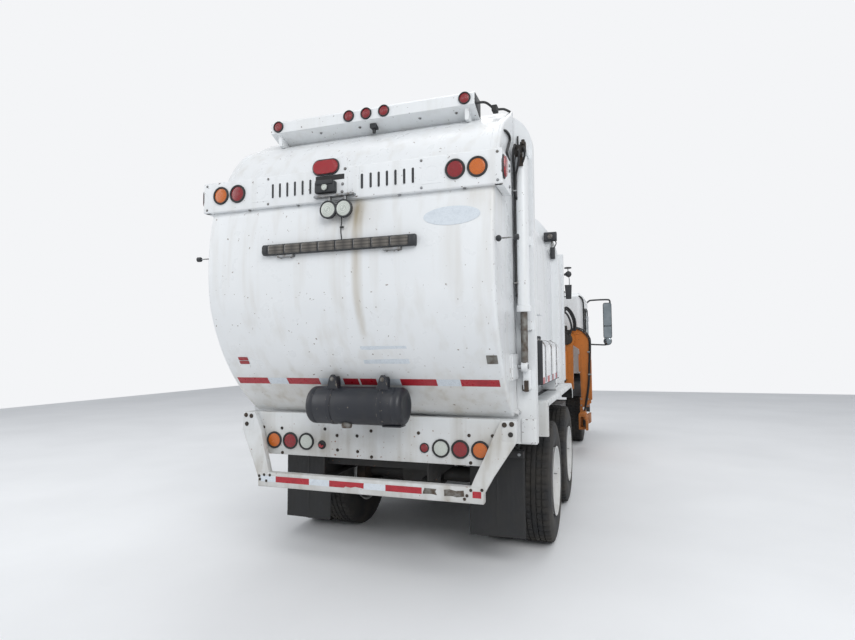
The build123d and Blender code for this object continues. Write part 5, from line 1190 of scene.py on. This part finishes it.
# Cab: trims in black round the openings, handles and a snorkel pipe.
cab = {"half": 1190.0, "rear": 5220.0, "front": 6950.0}
half, front = cab["half"], cab["front"]
snorkel = [(1120, 5222, 2640), (1168, 5226, 2600), (1192, 5232, 2530), (1197, 5236, 2400), (1198, 5238, 1500)]
sill = [(5300, 1240), (5300, 1262), (5620, 1266), (5940, 1262)]
grab = [(2, 1560), (44, 1600), (44, 2240), (2, 2280)]
parts = bothSides([
    lipPart(roundedRect((5362, 5848), (1762, 2428), 50, 6), "x", half + 1, 9),
    tubePart([(half + 6, y, z) for y, z in sill], 8, 0, 8, 4),
    boxPart((half - 6, half + 10), (5260, 5944), (1252, 1300)),
    tubePart(snorkel, 14, 0, 8, 5),
    tubePart([(half + out, 5895, z) for out, z in grab], 13, 1, 10, 5),
])
parts.append(lipPart(roundedRect((-456, 456), (1854, 2376), 24, 5), "y", cab["rear"] - 1, 13))
addPiece("cabTrims", parts, [rubber, chrome], "cab")

handle = [(-54, 6150), (-84, 6180), (-84, 6420), (-54, 6450)]
parts = [
    lipPart(roundedRect((6042, 6768), (1642, 2468), 50, 6), "x", half + 1, 8),
    slabPart(roundedRect((6040, 6176), (1520, 1596), 16, 5), "x", half - 2, half + 5, 2, 1),
    slabPart(roundedRect((6052, 6164), (1532, 1562), 10, 5), "x", half + 4, half + 22, 6, 2),
    plugPart([(0, 13), (5, 12), (6, 0)], "x", (half, 6108, 1490), 20, 2),
    boxPart((half - 1, half + 4), (5976, 6830), (1130, 1162), 2, 8),
    boxPart((half - 60, half - 50), (6100, 6700), (1340, 1500), 4, 30, 1),
    tubePart([(half + out, y, 1440) for out, y in handle], 11, 1, 8, 5),
]
trimFinishes = [rubber, plastic, chrome]
for name, side in sides:
    addPiece("doorTrims_" + name, onSide(parts, side), trimFinishes, "door_" + name)

# Front: rubber round the windscreen, two wipers parked on it, lamps on the roof.
parts = [lipPart(roundedRect((-1008, 1008), (1642, 2538), 70, 7), "y", front, 12),
         tubePart([(0, front - 16, 1650), (0, front - 18, 2100), (0, front - 16, 2532)], 7, 0, 8, 3)]
wiper = {"reach": 560.0, "pivots": (-700, 240)}
elbow = 0.62 * wiper["reach"]
for x in wiper["pivots"]:
    bar = [(x, front + 18, 1600), (x + 0.3 * wiper["reach"], front + 20, 1740), (x + elbow, front + 6, 1900)]
    link = [(x + elbow, front + 6, 1900), (x + 350, front + 4, 1760), (x + 340, front, 1698)]
    parts += [plugPart([(-4, 22), (10, 22), (22, 14), (24, 0)], "y", (x, front, 1600), 20, 1),
              tubePart(bar, 7, 1, 8, 5), tubePart(link, 5, 1, 8, 4),
              boxPart((x + 20, x + 100 + wiper["reach"]), (front - 8, front + 2), (1690, 1700), 2, 3, 1)]
for x in (-620, -120, 0, 120, 620):
    parts += [slabPart(roundedRect((x - 46, x + 46), (6740, 6800), 28, 6), "z", 2698, 2706, 2, 1),
              slabPart(roundedRect((x - 38, x + 38), (6746, 6796), 24, 6), "z", 2700, 2728, 12, 2)]
addPiece("cabFront", parts, [rubber, plastic, amberLens], "cab")

# A dark grille mesh in a bright frame.
grille = {"half": 558, "low": 1302, "high": 1558, "apartX": 16, "apartZ": 12, "wire": 0.9}
meshHalf, meshLow, meshHigh = grille["half"], grille["low"], grille["high"]
wire = (-grille["wire"], grille["wire"])
upright = boxPart(wire, (front - 20, front - 18.4), (meshLow, meshHigh), 0.4, 0.5)
level = boxPart((-meshHalf, meshHalf), (front - 19.2, front - 17.6), wire, 0.4, 0.5)
frameRect = roundedRect((-meshHalf - 8, meshHalf + 8), (meshLow - 8, meshHigh + 8), 24, 5)
mesh = [
    copyPart(upright, [(x, 0, 0) for x in range(6 - meshHalf, meshHalf, grille["apartX"])]),
    copyPart(level, [(0, 0, z) for z in range(meshLow + 6, meshHigh - 2, grille["apartZ"])]),
    lipPart(frameRect, "y", front + 1, 9, 1),
]
addPiece("grilleMesh", mesh, [plastic, chrome], "cab")

# Steps in the front corners, each a plate with ridges across.
cabStep = {"near": 700, "far": 1126, "front": 6860, "thick": 12, "ridgesApart": 44}
near, far, thick = cabStep["near"], cabStep["far"], cabStep["thick"]
parts = []
for z, y in ((868, 6430), (1082, 6560)):
    ridge = boxPart((near + 20, far - 16), (y + 18, y + 30), (z + thick - 1, z + thick + 5), 1.5, 3)
    ridges = [(0, shift, 0) for shift in range(0, cabStep["front"] - 60 - y, cabStep["ridgesApart"])]
    parts += [boxPart((near, far), (y, cabStep["front"]), (z, z + thick), 3), copyPart(ridge, ridges)]
addPiece("cabTreads", bothSides(parts), [aluminium], "cab")

# Mirrors: two glasses in a black shell on a bent tube, and a round one under them.
upperArm = [(1060, 6966, 2530), (1100, 6984, 2560), (1210, 6988, 2680), (1300, 6988, 2700),
            (1570, 6988, 2702), (1626, 6986, 2680), (1636, 6984, 2610)]
lowerArm = [(1060, 6966, 1800), (1090, 6982, 1790), (1400, 6986, 1770), (1560, 6984, 1780),
            (1572, 6980, 1904)]
roundMirror = (1572, 6956, 1842)
parts = [slabPart(roundedRect((1490, 1662), (1900, 2636), 40, 6), "y", 6938, 7008, 26)]
parts += [slabPart(roundedRect((1502, 1650), span, 26, 5), "y", 6934.5, 6941, 1, 1)
          for span in ((2160, 2622), (1912, 2146))]
parts += [tubePart(upperArm, 17), tubePart(lowerArm, 15)]
parts += boxParts(*[((1036, 1086), (6948, 6968), (z, z + 50), 4, 8, 2) for z in (2506, 1776)])
parts += [lathePart([(0, 0), (0, 74), (10, 84), (24, 78), (40, 50), (46, 0)], "y", roundMirror, 32),
          lathePart([(-2, 0), (-8, 40), (-1, 74), (2, 74), (2, 0)], "y", roundMirror, 32, 1)]
addPiece("mirrorHeads", bothSides(parts), [plastic, mirrorGlass, chrome], "cab", ("mirrors",))
print("cab outside made")


# Seats: crowned cushions of woven cloth with sewn channels pressed in and a drawn-in seam.
def cushionGrid(middle, half, channels, axis):
    u, v = np.meshgrid(np.linspace(-1, 1, 33), np.linspace(-1, 1, 33))
    most = np.maximum(abs(u), abs(v))
    pull = 1 - 0.05 * (1 - abs(u * v)) * most**6
    body = np.clip(1 - most**5, 0, 1) ** 0.5
    groove = sum(np.exp(-((v - g) / 0.035) ** 2) for g in channels) * (abs(u) < 0.9)
    face = np.stack([u * half[0] * pull, v * half[1] * pull, half[2] * body - 7 * groove * body], -1)
    whole = np.concatenate([face, (face * (1, 1, -0.55))[:, ::-1]], 1)
    if axis == "y":
        whole = whole[..., [0, 2, 1]] * (1, -1, 1)
    return gridPart(whole + np.asarray(middle, float), caps=False)


# A short cloth run with pressure: the pad swells a little, and how far a point may move is capped.
def swell(piece, pressure, steps, limit):
    scene = bpy.context.scene
    rest = np.array([v.co[:] for v in piece.data.vertices])
    pad = piece.modifiers.new("swell", "CLOTH")
    pad.settings.use_pressure = True
    pad.settings.uniform_pressure_force = pressure
    pad.settings.effector_weights.gravity = 0.0
    for step in range(1, steps + 1):
        scene.frame_set(step)
    seen = piece.evaluated_get(bpy.context.evaluated_depsgraph_get())
    moved = np.array([v.co[:] for v in seen.data.vertices])
    piece.modifiers.remove(pad)
    scene.frame_set(1)
    shift = np.nan_to_num(moved - rest)
    shift *= np.minimum(1, limit / np.maximum(np.linalg.norm(shift, axis=1, keepdims=True), 1e-9))
    piece.data.vertices.foreach_set("co", (rest + shift).ravel())
    piece.data.update()


# Each pad: its middle in Y and Z, its half sizes, where its channels run, and the axis it faces.
seatLook = {
    "x": 800.0, "fill": 0.7, "swell": {"pressure": 4.0, "steps": 12, "limit": 0.006},
    "cushion": ((5735, 1640), (228, 246, 62), (-0.5, 0.0, 0.5), "z"),
    "back": ((5440, 1960), (222, 366, 58), (-0.55, -0.2, 0.2, 0.55), "y"),
}
for name, side in sides:
    x = side * seatLook["x"]
    base = boxParts(
        ((x - 178, x + 178), (5562, 5958), (1302, 1568), 10, 20),
        ((x - 190, x + 190), (5540, 5980), (1560, 1584), 6, 20),
        ((x - 60, x + 60), (5470, 5560), (1560, 1620), 6, 14),
    )
    rib = boxPart((x - 182, x + 182), (5558, 5562), (1340, 1350), 1.5, 3)
    base.append(copyPart(rib, [(0, 0, shift) for shift in range(0, 200, 34)]))
    addPiece("seatBase_" + name, base, [plastic], "cab", ("seats",))
    for kind in ("cushion", "back"):
        middle, half, channels, axis = seatLook[kind]
        pad = cushionGrid((x, *middle), half, channels, axis)
        piece = addPiece(kind + "_" + name, [pad], [cloth], "cab")
        swell(piece, **seatLook["swell"])
print("seats made")

# Steering wheel on its column, and the dashboard's hoods.
wheel = {"hub": (-800.0, 6380.0, 1800.0), "lean": (0.0, -0.62, 0.785), "radius": 218.0, "rim": 14.0}
hub, lean = np.array(wheel["hub"]), np.array(wheel["lean"])
level = np.array([1.0, 0.0, 0.0])
rise = np.cross(lean, level)
angle = np.linspace(0, 2 * pi, 48, endpoint=False)[:, None]
ringLine = hub + wheel["radius"] * (np.cos(angle) * level + np.sin(angle) * rise)
around = np.arange(10)[None, :, None] * pi / 5
fromHub = unit(ringLine - hub)[:, None]
rim = ringLine[:, None] + wheel["rim"] * (np.cos(around) * fromHub + np.sin(around) * lean)
parts = [gridPart(rim, wrapRows=True)]
for turn in (0.35, pi - 0.35, 1.5 * pi):
    way = cos(turn) * level + sin(turn) * rise
    spoke = [hub + 40 * way - 24 * lean, hub + 120 * way - 20 * lean, hub + 212 * way]
    parts.append(tubePart(spoke, 9, 0, 8, 4))
for depths, radius, count in (((40, 200, 420), 26, 14), ((46, 20, 14), 58, 24)):
    parts.append(tubePart([hub - depth * lean for depth in depths], radius, 0, count, 3))
parts += boxParts(
    ((-980, -620), (6600, 6720), (1600, 1690), 10, 30), ((-1100, 1100), (6660, 6700), (1560, 1632), 12, 16),
    ((-300, 300), (6640, 6684), (1440, 1560), 6, 12),
)
addPiece("steeringWheel", parts, [plastic], "cab")

# Chassis: straps round the tanks, a filler cap, the battery box's cover and latch.
strap = {"y": (2550, 3450), "width": 40, "corner": 132, "edge": 3.0}
width, edge = strap["width"], strap["edge"]
strapLine = roundedRect((-1103, -497), (437, 1003), strap["corner"], 8)
strapFace = roundedRect((-1102.5, -497.5), (437.5, 1002.5), strap["corner"], 8)
parts = []
for y in strap["y"]:
    parts += [lipPart(strapLine, "y", y, edge), lipPart(strapLine, "y", y + width, edge),
              slabPart(strapFace, "y", y, y + width, 0.8, rim=0)]
fillerCap = [(1000, 62), (1012, 66), (1030, 66), (1038, 58), (1040, 0)]
parts.append(plugPart(fillerCap, "z", (-960, 3560, 0), 32, 1))
parts += [plugPart([(y, 142.5), (y + 30, 142.5)], "y", (640, 0, 760), 40) for y in (3180, 3480, 3780)]
parts += boxParts(
    ((440, 1046), (2316, 2336), (944, 964), 2, 4), ((1048, 1056), (2380, 2880), (620, 900), 2, 12, 2),
    ((1054, 1064), (2600, 2660), (740, 790), 2),
)
addPiece("tankStraps", parts, [steel, aluminium, plastic], "truck")

# A pierced guard round the exhaust stack: of every six columns and four rows, a field is left out.
stack = {"x": -900.0, "y": 4910.0, "guard": 101.0, "band": 92.0, "pipe": 57.0}
stackX, stackY = stack["x"], stack["y"]
angle = (np.arange(72) + 0.5) * 2 * pi / 72
around = np.stack([np.cos(angle), np.sin(angle)], -1)
circle = (stackX, stackY) + stack["guard"] * around
rows = [np.column_stack([circle, np.full(72, z)]) for z in np.linspace(1500, 2760, 127)]
pierced = gridPart(rows, caps=False)
faces, uv = pierced["faces"][0]
row, column = np.divmod(faces[:, 0], 72)
stay = ~((row % 4 < 3) & ((column + 3 * (row // 4 % 2)) % 6 < 4) & (row > 3) & (row < 122))
pierced["faces"] = [(faces[stay], uv[stay])]
addPiece("stackGuard", [pierced], [chrome], "truck", wall=2.0)
parts = [lipPart((stackX, stackY) + stack["band"] * around, "z", z, 5) for z in (1480, 2790)]
mouth = [(stackX, stackY + shift, z) for shift, z in ((0, 2940), (0, 3000), (-10, 3030), (-22, 3046))]
parts.append(tubePart(mouth, stack["pipe"], 0, 28, 4))
addPiece("stackBands", parts, [chrome], "truck")
print("chassis made")

# Hopper: ribs pressed on its walls, a rubber lip on the tipping edge.
hopperRib = {"y": (3180, 3560, 3940, 4320), "half": 30}
ribHalf = hopperRib["half"]
ribLine = [(905, 1200), (905, 2560), (912, 2552), (930, 2520), (930, 1250), (912, 1210)]
parts = bothSides([slabPart(ribLine, "y", y - ribHalf, y + ribHalf, 6, rim=0) for y in hopperRib["y"]])
parts += bothSides([boxPart((560, 600), (4550, 4574), (1300, 2600), 3, 5)])
parts += boxParts(((903, 945), (3130, 4540), (2636, 2650), 3, 5, 1),
                  ((-800, 800), (4550, 4580), (2600, 2640), 3, 5))
addPiece("hopperRibs", parts, [whitePaint, rubber], "truck")

# Weld seams over the body's roof, from foot to foot.
seam = {"y": (-620, 300, 1000, 2300), "half": 1035, "foot": 1160, "bend": 2620, "corner": 780, "radius": 2.6}
seamHalf, corner = seam["half"], seam["corner"]
quarter = np.linspace(0, pi / 2, 14)
shoulder = corner * np.stack([np.cos(quarter), np.sin(quarter)], -1) + (seamHalf - corner, seam["bend"])
shoulder = np.concatenate([[(seamHalf, seam["foot"]), (seamHalf, 2000)], shoulder])
arch = np.concatenate([shoulder, (shoulder * (-1, 1))[::-1]])
parts = [tubePart([(x, y, z) for x, z in arch], seam["radius"], 0, 6, 1) for y in seam["y"]]
addPiece("bodySeams", parts, [whitePaint], "truck")

# Beacon and work lamp on a post at the hopper's front corner.
hood = [(950, 2902), (950, 2926), (1000, 2956), (1040, 2956), (1040, 2890)]
parts = [
    slabPart([(974, 2512), (956, 2742), (1066, 2742), (1056, 2512)], "y", 4290, 4370, 6),
    boxPart((880, 990), (4310, 4330), (2540, 2562), 3, 5, 1),
    tubePart([(1030, 4340, 2740), (1030, 4340, 2840), (1016, 4336, 2920), (1010, 4330, 3036)], 8, 1),
    lathePart([(0, 0), (0, 34), (-8, 48), (-40, 50), (-74, 30), (-80, 0)], "y", (1020, 4340, 2920), 28),
    slabPart(hood, "y", 4276, 4344, 5),
    plugPart([(3018, 56), (3026, 60), (3036, 56), (3042, 20)], "z", (1010, 4330, 0), 28),
]
addPiece("hopperLamps", parts, [plastic, steel], "truck")
print("hopper made")

# CAD nodes that keep their shape take their finish here.
chassisNodes = ("frame", "rear_axles", "suspension", "front_axle", "tanks", "front_bumper", "arm_base",
                "knuckle_left", "knuckle_right")
finishes = (
    (whitePaint, ("body_shell", "rear_ring", "cylinder_brackets", "hopper", "body_bands", "packer")),
    (cabPaint, ("cab_shell", "cab_steps", "door_left", "door_right")),
    (chassisPaintAndShade, chassisNodes),
    (armPaintAndShade, ("arm_slide", "lift_arm", "finger_rear", "finger_front")),
    (castIron, ("engine",)),
    (plastic, ("cab_fenders", "dashboard")),
    (chrome, ("exhaust",)),
    (glass, ("cab_glass", "door_glass_left", "door_glass_right")),
)
for material, names in finishes:
    for name in names:
        for slotItem in nodes[name].material_slots:
            slotItem.material = material
print("finishes given")

# Stage: a plain pale floor, a big soft key light, a weaker fill and one from above, all turned to the
# truck's middle.
scene = bpy.context.scene
scene.view_settings.view_transform = "Standard"
floorMesh = bpy.data.meshes.new("floor")
floorHalf = 16.0
floorCorners = [(floorHalf * x, floorHalf * y, 0) for x, y in ((-1, -1), (1, -1), (1, 1), (-1, 1))]
floorMesh.from_pydata(floorCorners, [], [(0, 1, 2, 3)])
floorMesh.materials.append(concrete)
floor = bpy.data.objects.new("floor", floorMesh)
scene.collection.objects.link(floor)

lightTarget = Vector((0, -1, 1.4))
lights = (
    {"name": "keyLight", "place": (7.0, -13.0, 10.0), "size": 9.0, "power": 1100.0},
    {"name": "fillLight", "place": (-11.0, -9.0, 7.0), "size": 9.0, "power": 420.0},
    {"name": "topLight", "place": (0.0, 2.0, 13.0), "size": 10.0, "power": 500.0},
)
for look in lights:
    data = bpy.data.lights.new(look["name"], "AREA")
    data.size = look["size"]
    data.energy = look["power"]
    light = bpy.data.objects.new(look["name"], data)
    light.location = look["place"]
    light.rotation_euler = (lightTarget - light.location).to_track_quat("-Z", "Y").to_euler()
    scene.collection.objects.link(light)

# The surrounding lights the truck softly; the camera, reflections and glass see it brighter.
world = bpy.data.worlds.new("paleRoom")
scene.world = world
world.use_nodes = True
tree = world.node_tree
room = tree.nodes["Background"]
setInputs(tree, room, {"Color": "#E8ECF2", "Strength": 0.55})
seen = addNode(tree, "Background", {"Color": "#F4F5F7", "Strength": 1.0})
rays = addNode(tree, "LightPath", {}).node.outputs
direct = addNode(tree, "Math", {0: rays["Is Camera Ray"], 1: rays["Is Glossy Ray"]}, operation="MAXIMUM")
direct = addNode(tree, "Math", {0: direct, 1: rays["Is Transmission Ray"]}, operation="MAXIMUM")
mixed = addNode(tree, "MixShader", {0: direct, 1: room.outputs[0], 2: seen})
setInputs(tree, tree.nodes["World Output"], {"Surface": mixed})

# Camera where the photo was taken from: behind the truck, a little to its right, at eye height.
view = {"place": (1.756, -7.724, 1.682), "yaw": 0.327, "pitch": 0.054, "roll": -0.007,
        "sensor": 36.0, "lens": 23.508, "far": 200.0}
yaw, pitch, roll = view["yaw"], view["pitch"], view["roll"]
ahead = Vector((-sin(yaw) * cos(pitch), cos(yaw) * cos(pitch), sin(pitch)))
level = Vector((cos(yaw), sin(yaw), 0.0))
upright = level.cross(ahead)
aside, upright = cos(roll) * level + sin(roll) * upright, cos(roll) * upright - sin(roll) * level
turn = Matrix((aside, upright, -ahead)).transposed().to_4x4()
cameraData = bpy.data.cameras.new("photoCamera")
cameraData.sensor_width = view["sensor"]
cameraData.lens = view["lens"]
cameraData.clip_end = view["far"]
camera = bpy.data.objects.new("photoCamera", cameraData)
camera.matrix_world = Matrix.Translation(view["place"]) @ turn
scene.collection.objects.link(camera)
scene.camera = camera
print("stage made")
